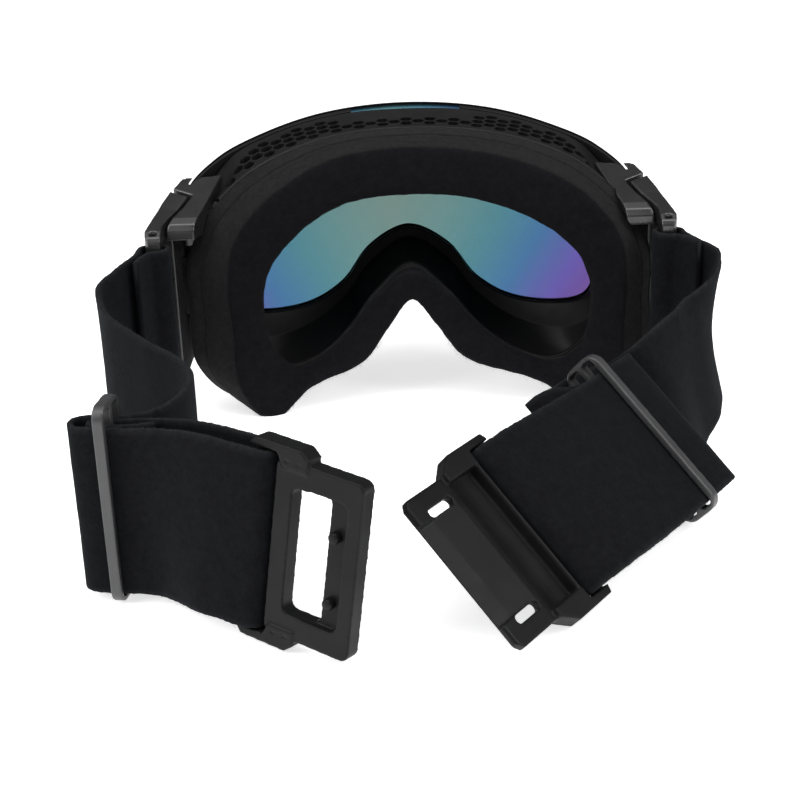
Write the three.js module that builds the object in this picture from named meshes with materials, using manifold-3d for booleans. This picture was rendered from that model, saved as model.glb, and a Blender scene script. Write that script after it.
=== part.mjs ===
// Ski goggles with a magnetic double lens, swinging strap arms and a strap in two clip-ended halves.
// Millimetres. X: wearer's right, Y: forward (the way the lens faces), Z: up.
// The goggles stand on the lower lobes of the face foam and on the edges of the strap webbing.
import * as THREE from 'three';
import { mergeVertices } from 'three/addons/utils/BufferGeometryUtils.js';
import Module from 'manifold-3d';

const wasm = await Module();
wasm.setup();

// ---------------------------------------------------------------- driving dimensions
const LENS_RADIUS = 100; // horizontal curve of the lens
const LENS_RADIUS_V = 160; // vertical curve of the lens
const LENS_MID_HEIGHT = 55;
const GAP = 0.3; // clearance between touching pieces
const WEB_WIDTH = 50; // strap webbing
const WEB_THICK = 1.8;
const LAYER = 4.2; // distance of a webbing layer from the middle of slider and clip bar
const SLIDER_HEIGHT = 59;
const CLIP_HEIGHT = 56; // over the wings at the strap bar
const VENT_PITCH = 5; // honeycomb spacing from front to back
const VENT_RADIUS = 2.3;
const VENT_COLUMNS = 21; // on each side of the middle
const AROUND = 72; // stations round an outline

// Half outlines seen from the front (x, z), from the top centre round the side to the nose apex.
const OUTLINE = {
  lens: [[0, 100], [30, 98], [52, 93], [68, 87], [78.5, 78], [80.5, 63], [79, 46], [74.5, 29], [60, 15],
    [42, 16], [27, 24], [15, 37], [0, 45]],
  opening: [[0, 90], [27, 88], [45, 84], [59, 77], [68, 67], [70, 55], [68, 42], [64, 31], [54, 27], [38, 27],
    [26, 33], [15, 46], [0, 53]],
  base: [[0, 97.5], [26, 96], [46, 91.5], [62, 84], [76, 71], [82.5, 57], [83, 42], [82, 18], [68, 2.5],
    [43, 7.5], [20, 17], [10, 31], [0, 41]],
  baseInner: [[0, 83], [22, 81.5], [38, 77], [51, 69], [61, 60], [65, 50], [65, 38], [61, 22], [51, 13],
    [38, 15], [25, 24], [13, 38], [0, 48]],
  ridge: [[0, 94], [26, 91.5], [44, 85.5], [58, 76.5], [67.5, 64], [70, 50], [69.5, 32], [68.5, 12],
    [58, -2.4], [43, 8], [18, 17], [9, 28.5], [0, 39]],
  faceInner: [[0, 77], [20, 75.5], [34, 71], [45.5, 64.5], [54, 56], [57.5, 47], [58, 37], [55, 24],
    [47, 16.5], [37, 18.5], [26, 26], [14, 39], [0, 48.5]],
};

// ---------------------------------------------------------------- surfaces the outlines lie on
const lensY = (x, z) => Math.sqrt(LENS_RADIUS ** 2 - x * x) - LENS_RADIUS
  - (z - LENS_MID_HEIGHT) ** 2 / (2 * LENS_RADIUS_V);
const baseY = (x) => -38 - 24 * (x / 85) ** 2;
const faceY = (x) => -57 - 16 * (x / 75) ** 2;

// ---------------------------------------------------------------- geometry helpers
function closedCurve(half) {
  const mirrored = half.slice(1, -1).reverse().map(([x, z]) => [-x, z]);
  const points = [...half, ...mirrored].map(([x, z]) => new THREE.Vector3(x, 0, z));
  return new THREE.CatmullRomCurve3(points, true, 'centripetal');
}
const CURVE = Object.fromEntries(Object.entries(OUTLINE).map(([name, half]) => [name, closedCurve(half)]));

// Point of an outline at parameter u (0 at the top centre, 0.5 at the nose), between two outlines.
function between(nameA, nameB, t, u) {
  const a = CURVE[nameA].getPoint(u);
  return a.lerp(CURVE[nameB].getPoint(u), t);
}
const onLens = (t, u, back) => {
  const p = between('lens', 'opening', t, u);
  p.y = lensY(p.x, p.z) - back;
  return p;
};
// The face side is set a little towards the wearer's right of the lens, except at the nose.
const smooth = THREE.MathUtils.smoothstep;
const offset = (x, left, right) => x + (x < 0 ? left : right) * smooth(Math.abs(x), 12, 55);
const onBase = (t, u, forward = 0) => {
  const p = between('base', 'baseInner', t, u);
  p.x = offset(p.x, 4, 0.6);
  p.y = baseY(p.x) + forward;
  return p;
};
const onFace = (t, u, forward = 0) => {
  const p = between('ridge', 'faceInner', t, u);
  p.x = offset(p.x, 6, 4);
  p.y = faceY(p.x) + forward;
  return p;
};

function toGeometry(vertices, faces) {
  let volume = 0;
  const cross = new THREE.Vector3();
  for (const [a, b, c] of faces) volume += vertices[a].dot(cross.crossVectors(vertices[b], vertices[c]));
  const index = volume > 0 ? faces.flat() : faces.flatMap(([a, b, c]) => [a, c, b]);
  const geometry = new THREE.BufferGeometry().setFromPoints(vertices);
  geometry.setIndex(index);
  geometry.computeVertexNormals();
  return geometry;
}

// Solid swept through cross-sections (each a ring of points), closed on itself or with flat ends.
function loft(sections, closed) {
  const count = sections[0].length;
  const vertices = sections.flat();
  const faces = [];
  const spans = closed ? sections.length : sections.length - 1;
  for (let i = 0; i < spans; i++) {
    const here = i * count;
    const next = ((i + 1) % sections.length) * count;
    for (let k = 0; k < count; k++) {
      const l = (k + 1) % count;
      faces.push([here + k, next + k, next + l], [here + k, next + l, here + l]);
    }
  }
  if (!closed) {
    const last = (sections.length - 1) * count;
    for (let k = 1; k < count - 1; k++) faces.push([0, k, k + 1], [last, last + k + 1, last + k]);
  }
  return toGeometry(vertices, faces);
}

// Ring that follows the outlines all the way round; section(u) gives its cross-section.
const ring = (section, stations = AROUND) => loft(
  Array.from({ length: stations }, (_, i) => section(i / stations)), true);

// Curved plate that fills an outline, shrunk in steps towards its middle.
function plate(edge, back, thick, steps = [1, 0.82, 0.6, 0.36, 0.14], stations = 64) {
  const middle = new THREE.Vector3(0, 0, 72);
  const vertices = [];
  const faces = [];
  const side = (offset) => {
    const first = vertices.length;
    for (const s of steps) {
      for (let i = 0; i < stations; i++) {
        const p = edge(i / stations).setY(0).lerp(middle, 1 - s);
        vertices.push(p.setY(lensY(p.x, p.z) - offset));
      }
    }
    vertices.push(new THREE.Vector3(0, lensY(0, 72) - offset, 72));
    return first;
  };
  const front = side(back);
  const rear = side(back + thick);
  const patch = (first, flip) => {
    const add = (a, b, c) => faces.push(flip ? [a, c, b] : [a, b, c]);
    for (let i = 0; i < stations; i++) {
      const j = (i + 1) % stations;
      for (let k = 0; k < steps.length - 1; k++) {
        const a = first + k * stations;
        const b = a + stations;
        add(a + i, a + j, b + j);
        add(a + i, b + j, b + i);
      }
      const inner = first + (steps.length - 1) * stations;
      add(inner + i, inner + j, first + steps.length * stations);
    }
  };
  patch(front, false);
  patch(rear, true);
  for (let i = 0; i < stations; i++) {
    const j = (i + 1) % stations;
    faces.push([front + i, rear + i, rear + j], [front + i, rear + j, front + j]);
  }
  return toGeometry(vertices, faces);
}

function toManifold(geometry) {
  const bare = geometry.clone();
  bare.deleteAttribute('normal');
  bare.deleteAttribute('uv');
  const merged = mergeVertices(bare, 1e-4);
  return new wasm.Manifold(new wasm.Mesh({
    numProp: 3,
    vertProperties: new Float32Array(merged.attributes.position.array),
    triVerts: new Uint32Array(merged.index.array),
  }));
}
function fromManifold(manifold) {
  const mesh = manifold.getMesh();
  const geometry = new THREE.BufferGeometry();
  geometry.setAttribute('position', new THREE.BufferAttribute(new Float32Array(mesh.vertProperties), 3));
  geometry.setIndex(new THREE.BufferAttribute(new Uint32Array(mesh.triVerts), 1));
  geometry.computeVertexNormals();
  return geometry;
}
const join = (...parts) => fromManifold(parts.map(toManifold).reduce((a, b) => a.add(b)));
const cut = (body, ...tools) => fromManifold(
  tools.map(toManifold).reduce((a, b) => a.subtract(b), toManifold(body)));

const box = (x0, x1, y0, y1, z0, z1) => new THREE.BoxGeometry(x1 - x0, y1 - y0, z1 - z0)
  .translate((x0 + x1) / 2, (y0 + y1) / 2, (z0 + z1) / 2);
const rod = (radius, x, y, z0, z1, sides = 16) => new THREE.CylinderGeometry(radius, radius, z1 - z0, sides)
  .rotateX(Math.PI / 2).translate(x, y, (z0 + z1) / 2);

// Flat shape in a plane given by (a, b), extruded from c0 to c1 along the third axis.
function slab(points, c0, c1, holes = []) {
  const shape = new THREE.Shape(points.map(([a, b]) => new THREE.Vector2(a, b)));
  for (const hole of holes) shape.holes.push(new THREE.Path(hole.map(([a, b]) => new THREE.Vector2(a, b))));
  const options = { depth: c1 - c0, bevelEnabled: false, curveSegments: 8 };
  return new THREE.ExtrudeGeometry(shape, options).translate(0, 0, c0);
}

// Rectangle outline with rounded corners.
function rounded(a0, a1, b0, b1, r, steps = 4) {
  const points = [];
  const corners = [[a1 - r, b1 - r, 0], [a0 + r, b1 - r, 1], [a0 + r, b0 + r, 2], [a1 - r, b0 + r, 3]];
  for (const [a, b, quarter] of corners) {
    for (let i = 0; i <= steps; i++) {
      const angle = (quarter + i / steps) * Math.PI / 2;
      points.push([a + r * Math.cos(angle), b + r * Math.sin(angle)]);
    }
  }
  return points;
}

// ---------------------------------------------------------------- lens assembly
const outerLens = () => plate((u) => onLens(0, u, 0), 0, 1.2, [1, 0.92, 0.84, 0.66, 0.42, 0.18], 56);
const innerLens = () => plate((u) => onLens(0.7, u, 0), 4.6, 0.8, [1, 0.92, 0.7, 0.42, 0.16], 48);
// Ring of rectangular section on the lens surface: t across the rim, back behind the surface.
const lensRing = (t0, t1, back0, back1, stations) => ring(
  (u) => [onLens(t0, u, back0), onLens(t1, u, back0), onLens(t1, u, back1), onLens(t0, u, back1)], stations);
const lensSpacer = () => lensRing(0.75, 0.95, 1.8, 4.1, 56);

const MAGNET = { radius: 2.2, thick: 1.4, pocket: 0.3 };
const MAGNET_PLACES = [[28, 94.6], [57, 86.4], [52, 19.4]]; // x and z on the right half
const FRAME_FRONT = 6.6; // front face of the frame behind the lens surface
const RIM_BACK = 6; // back face of the lens rim behind the lens surface

// Disc with its axis along the lens normal, its front face `back` behind the lens surface.
function disc(x, z, back, thick, radius, sides = 12) {
  const turn = Math.asin(x / LENS_RADIUS);
  const depth = (back + thick / 2) * Math.cos(turn);
  return new THREE.CylinderGeometry(radius, radius, thick * Math.cos(turn), sides).rotateZ(-turn)
    .translate(x - depth * Math.sin(turn), lensY(x, z) - depth * Math.cos(turn), z);
}
const NOTCH = box(-21, 21, -15, 5, 95.6, 105); // finger notch at the top centre

function lensRim() {
  const { radius, thick, pocket } = MAGNET;
  const pockets = eachMagnet((x, z) => disc(x, z, RIM_BACK - thick - 0.4, 4, radius + pocket));
  return cut(lensRing(0.03, 0.62, 1.8, RIM_BACK), NOTCH, ...pockets);
}
function eachMagnet(make) {
  return MAGNET_PLACES.flatMap(([x, z]) => [make(x, z), make(-x, z)]);
}

// ---------------------------------------------------------------- face frame
const WALL = 2.2;
const FLANGE = 2.8; // thickness of the flange that the lens rests against
const WAIST = 5.5; // how far the side walls draw in to make room for the strap arms
function frameOuter(u, v) {
  const wide = smooth(onLens(0, u, 0).z, 84, 92); // the frame reaches the lens edge only along the top
  const point = onLens(0.28, u, FRAME_FRONT).lerp(onLens(0.05, u, FRAME_FRONT), wide);
  point.lerp(onBase(0, u), v);
  const draw = WAIST * smooth(Math.abs(point.x), 58, 74) * Math.max(0, 1 - Math.abs(v - 0.45) / 0.45);
  point.x -= Math.sign(point.x) * draw;
  return point;
}
const HINGE = { x: 82.6, y: -54, pin: 1.1, lugLow: 37, lugHigh: 58 };

function frameShell() {
  return ring((u) => {
    const inner = (v, inset) => {
      const p = frameOuter(u, v);
      const middle = between('opening', 'baseInner', 0.5, u).setY(p.y);
      return p.addScaledVector(middle.sub(p).normalize(), inset);
    };
    const frontInner = inner(0, WALL);
    frontInner.y = onLens(0.3, u, FRAME_FRONT + FLANGE).y;
    const backInner = inner(1, WALL);
    backInner.y += 2;
    return [
      onLens(1, u, FRAME_FRONT), frameOuter(u, 0), frameOuter(u, 0.45), frameOuter(u, 1),
      onBase(1, u), onBase(1, u, 2),
      backInner, inner(0.45, WALL), frontInner, onLens(1, u, FRAME_FRONT + FLANGE),
    ];
  });
}

// Hexagonal vents along the top wall: columns across the face, every other one shifted half a pitch.
function ventHoles() {
  const samples = 800;
  const uAt = (i) => i * 0.25 / samples;
  const travelled = [0];
  for (let i = 1; i <= samples; i++) {
    travelled.push(travelled[i - 1] + frameOuter(uAt(i), 0.55).distanceTo(frameOuter(uAt(i - 1), 0.55)));
  }
  const centres = [];
  const holes = [];
  for (let column = 0; column < VENT_COLUMNS; column++) {
    const u = uAt(travelled.findIndex((d) => d >= column * VENT_PITCH * Math.sqrt(0.75)));
    const depth = frameOuter(u, 0).distanceTo(frameOuter(u, 1));
    const x = frameOuter(u, 0.5).x;
    const margin = x < 24 ? 15.5 : 5.2 + 3 * Math.max(0, (x - 52) / 22); // solid wall kept at the front
    for (let back = depth - 4.1 - (column % 2) * VENT_PITCH / 2; back >= margin; back -= VENT_PITCH) {
      const v = back / depth;
      const point = frameOuter(u, v);
      if (centres.some((centre) => centre.distanceTo(point) < VENT_PITCH - 0.6)) continue;
      centres.push(point);
      const along = frameOuter(u + 0.002, v).sub(frameOuter(u - 0.002, v)).normalize();
      const deep = frameOuter(u, v + 0.03).sub(frameOuter(u, v - 0.03)).normalize();
      const normal = new THREE.Vector3().crossVectors(along, deep).normalize();
      deep.crossVectors(along, normal);
      for (const side of column > 0 ? [1, -1] : [1]) {
        const axes = [along, normal, deep].map((axis) => new THREE.Vector3(axis.x * side, axis.y, axis.z));
        if (side < 0) axes[0].negate();
        const turned = new THREE.Matrix4().makeBasis(...axes).setPosition(point.x * side, point.y, point.z);
        const hole = new THREE.CylinderGeometry(VENT_RADIUS, VENT_RADIUS, 12, 6).rotateY(Math.PI / 6);
        holes.push(hole.applyMatrix4(turned));
      }
    }
  }
  return holes;
}

function hingeLug(side) {
  const { x, y, lugLow, lugHigh } = HINGE;
  const plan = [[76, y - 2.6], [x + 0.6, y - 2.6], [x + 2.4, y], [x + 0.6, y + 2.6], [76, y + 2.6]];
  return slab(onSide(side, plan), lugLow, lugHigh);
}

// Bodies a little larger than the lens assembly and the foam, which clear a path for them.
const lensRoom = () => lensRing(-0.05, 0.5, -4, 6.5);
const foamRoom = () => ring(
  (u) => [onBase(-0.01, u, 0.1), onBase(1, u, 0.1), onFace(1, u, -6), onFace(-0.02, u, -6)]);

// Profile (y, z) drawn across the whole width.
function acrossWidth(profile) {
  const axes = [new THREE.Vector3(0, 1, 0), new THREE.Vector3(0, 0, 1), new THREE.Vector3(1, 0, 0)];
  return slab(profile, -95, 95).applyMatrix4(new THREE.Matrix4().makeBasis(...axes));
}
const onSide = (side, points) => (side > 0 ? points : points.map(([x, y]) => [-x, y]).reverse());

// Shoulder of the frame beside the top of each strap arm: its plan (x, y), cut away above and below (y, z).
const SHOULDER = {
  plan: [[66, -40], [79.6, -41.3], [82.5, -46.9], [75.2, -50.6], [78.2, -57], [81.6, -62.6], [83.4, -66.3],
    [74, -66.3], [70, -54]],
  low: 60,
  high: 90,
  above: [[-38, 83.8], [-42, 82.2], [-50, 79], [-58, 75.7], [-62.5, 73.8], [-65, 72.2], [-66.2, 70],
    [-70, 69], [-70, 95], [-38, 95]],
  below: [[-38, 50], [-38, 62], [-57, 62], [-58.5, 66.8], [-70, 66.8], [-70, 50]],
};
function shoulder(side) {
  const { plan, low, high, above, below } = SHOULDER;
  const body = slab(onSide(side, plan), low, high);
  return cut(body, acrossWidth(above), acrossWidth(below), lensRoom(), foamRoom());
}

function frame() {
  const { x: hingeX, y: hingeY, pin, lugLow, lugHigh } = HINGE;
  const { radius, thick, pocket } = MAGNET;
  const bores = [1, -1].map((side) => rod(pin + GAP, side * hingeX, hingeY, lugLow - 4, lugHigh + 4, 12));
  const pockets = eachMagnet((x, z) => disc(x, z, FRAME_FRONT - 1.5, 1.5 + thick + 0.4, radius + pocket));
  const body = join(frameShell(), hingeLug(1), hingeLug(-1), shoulder(1), shoulder(-1));
  return cut(body, NOTCH, ...bores, ...pockets, ...ventHoles());
}

// ---------------------------------------------------------------- foams
function foamBase() {
  return ring((u) => {
    const outer = onBase(0.04, u, -GAP);
    const inner = onBase(0.96, u, -GAP);
    const outerBack = outer.clone().lerp(onFace(0.05, u, 2), 0.35);
    const innerBack = inner.clone().lerp(onFace(0.97, u, 2), 0.35);
    return [outer, inner, innerBack, outerBack];
  }, 64);
}
function foamFleece() {
  const body = ring((u) => {
    const outerFront = onBase(0.04, u, -GAP).lerp(onFace(0.05, u, 2), 0.35);
    const innerFront = onBase(0.96, u, -GAP).lerp(onFace(0.97, u, 2), 0.35);
    outerFront.y -= GAP;
    innerFront.y -= GAP;
    return [
      outerFront, innerFront, onFace(1, u, 3), onFace(0.8, u, 0.6), onFace(0.5, u), onFace(0.15, u, 0.4),
      onFace(0, u, 2.2),
    ];
  }, 64);
  return cut(body, box(-95, 95, -95, -40, -10, 0)); // the lower lobes are pressed flat at the bottom
}

// Thin open-cell strip inside the frame wall, behind the top vents.
function ventFoam(u0, u1, v0, v1, depth, stations) {
  return loft(Array.from({ length: stations }, (_, i) => {
    const u = THREE.MathUtils.lerp(u0, u1, i / (stations - 1));
    const middle = between('opening', 'baseInner', 0.5, u);
    const at = (v, inward) => {
      const p = frameOuter(u, v);
      const towards = middle.clone().setY(p.y).sub(p).normalize();
      return p.addScaledVector(towards, inward);
    };
    return [at(v0, depth), at(v1, depth), at(v1, depth + 1.5), at(v0, depth + 1.5)];
  }), false);
}

// ---------------------------------------------------------------- strap arms and their pins
// Plan (x, y) of the right arm, from its front edge to the bar that the webbing goes round.
const ARM = {
  plan: [[83.4, -48.3], [85.6, -54], [89.2, -66], [90.2, -69.5], [90.1, -71.6], [89, -73.3], [84.8, -73.3],
    [84.5, -68.6], [84.4, -66], [82.6, -62.4], [79.6, -57], [77, -51.3]],
  low: 12,
  high: 90,
  slotLow: 14.8,
  slotHigh: 67.2,
  above: [[-40, 83], [-50, 79], [-58, 75.7], [-66, 72.9], [-70, 71.4], [-72.4, 69.8], [-73.6, 67.6],
    [-80, 66], [-80, 95], [-40, 95]],
  below: [[-40, 5], [-40, 34], [-52, 24], [-60, 15], [-70, 10], [-80, 13], [-80, 5]],
};
function strapArm(side) {
  const { plan, low, high, slotLow, slotHigh, above, below } = ARM;
  const { x, y, pin, lugLow, lugHigh } = HINGE;
  const sideBox = (x0, x1, ...rest) => (side > 0 ? box(x0, x1, ...rest) : box(-x1, -x0, ...rest));
  const slot = sideBox(80, 95, -68.6, -61.5, slotLow, slotHigh);
  const lugRoom = sideBox(70, x + 5, y - 3.4, -40, lugLow - GAP, lugHigh + GAP);
  const bore = rod(pin + GAP, side * x, y, 24, 73, 12);
  const frameRoom = ring((u) => {
    const outer = [frameOuter(u, -0.05), frameOuter(u, 0.45), frameOuter(u, 1.04)];
    const section = [...outer, onBase(0.6, u, -0.5), onLens(0.8, u, 0)];
    return section.map((p) => p.setX(p.x + Math.sign(p.x) * 2 * GAP));
  });
  const body = slab(onSide(side, plan), low, high);
  return cut(body, acrossWidth(above), acrossWidth(below), slot, lugRoom, bore, frameRoom, foamRoom());
}
const armPin = (side) => rod(HINGE.pin, side * HINGE.x, HINGE.y, 28, 72, 12);

// ---------------------------------------------------------------- strap halves
// A placed frame: along = from slider to clip, up = across the webbing, face = the side that shows.
function placed(origin, along, lean) {
  const u = new THREE.Vector3(...along).normalize();
  const w = new THREE.Vector3(...lean).normalize();
  w.addScaledVector(u, -w.dot(u)).normalize();
  return { origin: new THREE.Vector3(...origin), u, w };
}
const faceOf = (frame, sign) => new THREE.Vector3().crossVectors(frame.u, frame.w).multiplyScalar(sign);
const pointIn = (frame, sign, a, n, h = 0) => frame.origin.clone().addScaledVector(frame.u, a)
  .addScaledVector(faceOf(frame, sign), n).addScaledVector(frame.w, h);

// Path of each strap half. run: points (x, y, z of the middle of the webbing, then how far its top leans
// in x and y per unit of height) from the strap arm to the slider.
const RIGHT_LEAN = [-0.603, 0.43, 0.672];
const RIGHT_ALONG = [-0.61, -0.792, -0.041];
const HALF = {
  left: {
    side: -1,
    sign: 1,
    slider: placed([-84.9, -193.5, 30.2], [0.985, -0.17, 0], [-0.03, 0, 1]),
    bar: placed([-44.4, -216.2, 29.2], [0.817, -0.571, -0.081], [0.135, 0.054, 0.989]),
    fold: -6,
    tail: [[-91.6, -86.5], [-90.1, -80.5], [-88, -76]],
    run: [[-93, -79.5, 41, 0, 0], [-96.8, -88, 39.5, 0, 0], [-101, -100, 37.5, 0, 0], [-97, -117, 34, 0, 0],
      [-84, -134, 31, 0, 0], [-70.5, -149, 29, 0, 0], [-66, -160, 28, 0, 0], [-67.5, -174, 28, 0, 0],
      [-73, -185, 28, 0, 0]],
    entry: [[3, -4.5, 0], [-3, -4.2, 0]],
  },
  right: {
    side: 1,
    sign: -1,
    slider: placed([66.3, -152, 24.7], RIGHT_ALONG, RIGHT_LEAN),
    bar: placed([30.1, -199, 22.2], RIGHT_ALONG, RIGHT_LEAN),
    fold: -15,
    tail: [[95.4, -84], [92.6, -79.2], [89.2, -75.9]],
    run: [[94.2, -77.5, 40.6, 0, 0], [97.2, -81.5, 39, -0.02, 0], [99, -89, 35.5, -0.08, 0],
      [96.3, -97.5, 31, -0.14, 0], [89.5, -108, 27, -0.2, 0], [80.5, -125, 23.6, -0.46, 0.08]],
    entry: [[-21, -8.8, 2.5], [-13, -9.6, 5], [-4, -9.3, 6], [12, -8.8, 6], [20, -8.4, 6], [22.6, -6.4, 6],
      [20, -4.5, 6], [10, -4.3, 3], [-1, -4.2, 0]],
  },
};
// Plan of the sewn loop round the bar of the right arm, between its stitched tail and the run.
const ARM_LOOP = [[85.8, -75.1], [83.6, -73.6], [82.9, -71], [83.2, -68.6], [84.8, -67.2], [87.4, -67],
  [90.6, -67.2], [92.1, -69], [92.4, -73]];
const ARM_WEB_HEIGHT = 41;
const WEB_SHIFT = -2; // the webbing hangs against the lower end of the slider's slots

// Points of an arc in a placed frame, from one angle to another (degrees, 0 = along, 90 = face).
function turn(frame, sign, centre, radius, from, to, steps, shift = 0) {
  return Array.from({ length: steps + 1 }, (_, i) => {
    const angle = THREE.MathUtils.degToRad(THREE.MathUtils.lerp(from, to, i / steps));
    return pointIn(frame, sign, centre + radius * Math.cos(angle), radius * Math.sin(angle), shift);
  });
}

function webbingPath({ side, sign, slider, bar, fold, tail, run, entry }) {
  const stations = [];
  const add = (point, w) => stations.push({ point, w: w.clone() });
  const upright = new THREE.Vector3(0, 0, 1);
  const atSlider = (a, n, h = 0) => add(pointIn(slider, sign, a, n, h + WEB_SHIFT), slider.w);
  for (const [x, y] of tail) add(new THREE.Vector3(x, y, ARM_WEB_HEIGHT), upright);
  for (const [x, y] of ARM_LOOP) add(new THREE.Vector3(side * x, y, ARM_WEB_HEIGHT), upright);
  for (const [x, y, z, leanX, leanY] of run) {
    add(new THREE.Vector3(x, y, z), new THREE.Vector3(leanX, leanY, 1).normalize());
  }
  for (const [a, n, h] of entry) atSlider(a, n, h);
  for (const p of turn(slider, sign, fold, LAYER, 270, 90, 5, WEB_SHIFT)) add(p, slider.w);
  for (const a of [0, 10]) atSlider(a, LAYER);
  add(pointIn(bar, sign, -14, LAYER + 1, -0.5), bar.w);
  for (const p of turn(bar, sign, 0, LAYER, 90, -90, 6)) add(p, bar.w);
  add(pointIn(bar, sign, -14, -LAYER, -0.5), bar.w);
  const core = LAYER / 2; // radius of the sewn loop round the middle bar of the slider
  atSlider(14, -3.4);
  for (const a of [3, -1]) atSlider(a, -core);
  for (const p of turn(slider, sign, -3, core, 270, 90, 4, WEB_SHIFT)) add(p, slider.w);
  for (const [a, n] of [[2, core], [7, 1.2], [13, -0.9]]) atSlider(a, n);
  return stations;
}

function webbing(half) {
  const stations = webbingPath(half);
  const curve = new THREE.CatmullRomCurve3(stations.map((s) => s.point), false, 'centripetal');
  const perSpan = 2;
  const count = (stations.length - 1) * perSpan;
  const sections = [];
  for (let i = 0; i <= count; i++) {
    const t = i / count;
    const span = Math.min(Math.floor(i / perSpan), stations.length - 2);
    const w = stations[span].w.clone().lerp(stations[span + 1].w, i / perSpan - span);
    const tangent = curve.getTangent(t);
    w.addScaledVector(tangent, -w.dot(tangent)).normalize();
    const normal = new THREE.Vector3().crossVectors(tangent, w);
    const corner = (a, b) => curve.getPoint(t)
      .addScaledVector(w, a * WEB_WIDTH / 2)
      .addScaledVector(normal, b * WEB_THICK / 2);
    sections.push([corner(-1, -1), corner(-1, 1), corner(1, 1), corner(1, -1)]);
  }
  return loft(sections, false);
}

// ---------------------------------------------------------------- sliders and clips
// Moves a piece drawn in (along, up, face) axes into a placed frame.
function place(geometry, frame, sign) {
  const n = faceOf(frame, sign);
  const basis = new THREE.Matrix4().makeBasis(frame.u, frame.w, n).setPosition(frame.origin);
  const moved = geometry.clone().applyMatrix4(basis);
  if (sign < 0) {
    // a mirrored piece has its faces turned back outward
    const index = moved.index.array;
    for (let i = 0; i < index.length; i += 3) [index[i], index[i + 1]] = [index[i + 1], index[i]];
    moved.computeVertexNormals();
  }
  return moved;
}

const SLIDER = { half: 7.4, slot: 5.4, bar: 1, depth: 3.2, slotHeight: 55.7 };
function slider({ slider: frame, sign }) {
  const { half, slot, bar, depth, slotHeight } = SLIDER;
  const h = SLIDER_HEIGHT / 2;
  const body = slab(rounded(-half, half, -h, h, 4.5), -depth / 2, depth / 2, [
    rounded(bar, slot, -slotHeight / 2, slotHeight / 2, 1.2, 2),
    rounded(-slot, -bar, -slotHeight / 2, slotHeight / 2, 1.2, 2),
  ]);
  // drawn as (face, up, along): turn it to (along, up, face)
  body.rotateY(-Math.PI / 2);
  return place(fromManifold(toManifold(body)), frame, sign);
}

const CLIP_BAR = 2;
// Window half: wings, window, recessed ledge with two pegs.
const WINDOW = {
  length: 33.2,
  half: 24.5,
  thick: 5,
  wing: 16,
  hole: [11.4, 22.6],
  holeHalf: 17.5,
  ledge: 28.8,
  peg: 1.6,
  pegApart: 18.4,
  pegShift: -1.5,
};
function windowClip({ bar: frame, sign }) {
  const { length, half, thick, wing, hole, holeHalf, ledge, peg, pegApart, pegShift } = WINDOW;
  const out = CLIP_HEIGHT / 2;
  const t = thick / 2;
  const opening = rounded(hole[0], hole[1], -holeHalf, holeHalf, 1);
  const body = slab(rounded(6, length, -half, half, 2.5), -t, t, [opening]);
  const wings = [1, -1].map((s) => {
    const plan = [[-3, 25.5], [-1, out], [wing - 2, out], [wing, out - 2], [wing, 22], [8, 22], [6, 25.5]];
    return slab(s > 0 ? plan : plan.map(([a, h]) => [a, -h]).reverse(), -3, 3);
  });
  const pin = new THREE.CylinderGeometry(CLIP_BAR, CLIP_BAR, 53, 12);
  const recess = box(hole[1] - 1, ledge, -holeHalf, holeHalf, 0.4, 6);
  const pegs = [1, -1].map((s) => new THREE.CylinderGeometry(peg, peg, 2.6, 14).rotateX(Math.PI / 2)
    .translate(hole[1] + 2.6, s * pegApart / 2 + pegShift, 1.4));
  return place(join(cut(join(body, pin, ...wings), recess), ...pegs), frame, sign);
}

// Plate half: wings, thin cross bar, sunken channel, and a plate with two hook slots and a sloping middle.
const PLATE = {
  half: 24,
  cross: [5.8, 7.4],
  slotAt: 17.6,
  slot: [21.8, 31.8],
  slotHalf: 1.3,
  // side profile (along, face) from the cross bar to the free end and back
  profile: [[6.4, -3.6], [12.6, -3.6], [15, -3], [17.2, -1.9], [19.5, -1.4], [21.5, -1.3], [36.6, -1.3],
    [37.3, -0.7], [37.3, 0.8], [36.7, 1.3], [21, 1.3], [19.4, 1.05], [17.8, 0.3], [16.2, -0.6], [14.4, -1.2],
    [12.4, -1.4], [6.4, -1.4]],
  slope: [[21, 1.32], [31.6, 0.35], [37.6, -0.75], [37.6, 6], [21, 6]],
};
function plateClip({ bar: frame, sign }) {
  const { half, cross, slotAt, slot, slotHalf, profile, slope } = PLATE;
  const out = CLIP_HEIGHT / 2;
  // profile drawn in (along, face), extruded along the bar
  const axes = [[1, 0, 0], [0, 0, 1], [0, -1, 0]].map((axis) => new THREE.Vector3(...axis));
  const sideways = new THREE.Matrix4().makeBasis(...axes);
  const along = (points, h) => slab(points, -h, h).applyMatrix4(sideways);
  const wings = [1, -1].map((s) => {
    const near = [[19.5, 21.5], [cross[0], 21.5], [cross[0], 25.5]];
    const plan = [[-3, 25.5], [-2, out], [14, out], [19.5, half], ...near];
    return slab(s > 0 ? plan : plan.map(([a, h]) => [a, -h]).reverse(), -2.6, 2.6);
  });
  const pin = new THREE.CylinderGeometry(CLIP_BAR, CLIP_BAR, 53, 12);
  const crossBar = box(cross[0], cross[1], -23, 23, -3.4, 2.4);
  const slots = [1, -1].map((s) => slab(
    rounded(slot[0], slot[1], s * slotAt - slotHalf, s * slotAt + slotHalf, 1.2, 3), -6, 6));
  const corners = [1, -1].map((s) => slab([[38, s * 21], [38, s * 26], [33.5, s * 26]], -6, 6));
  const body = join(along(profile, half), pin, crossBar, ...wings);
  return place(cut(body, ...slots, ...corners, along(slope, 16.2)), frame, sign);
}

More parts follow.
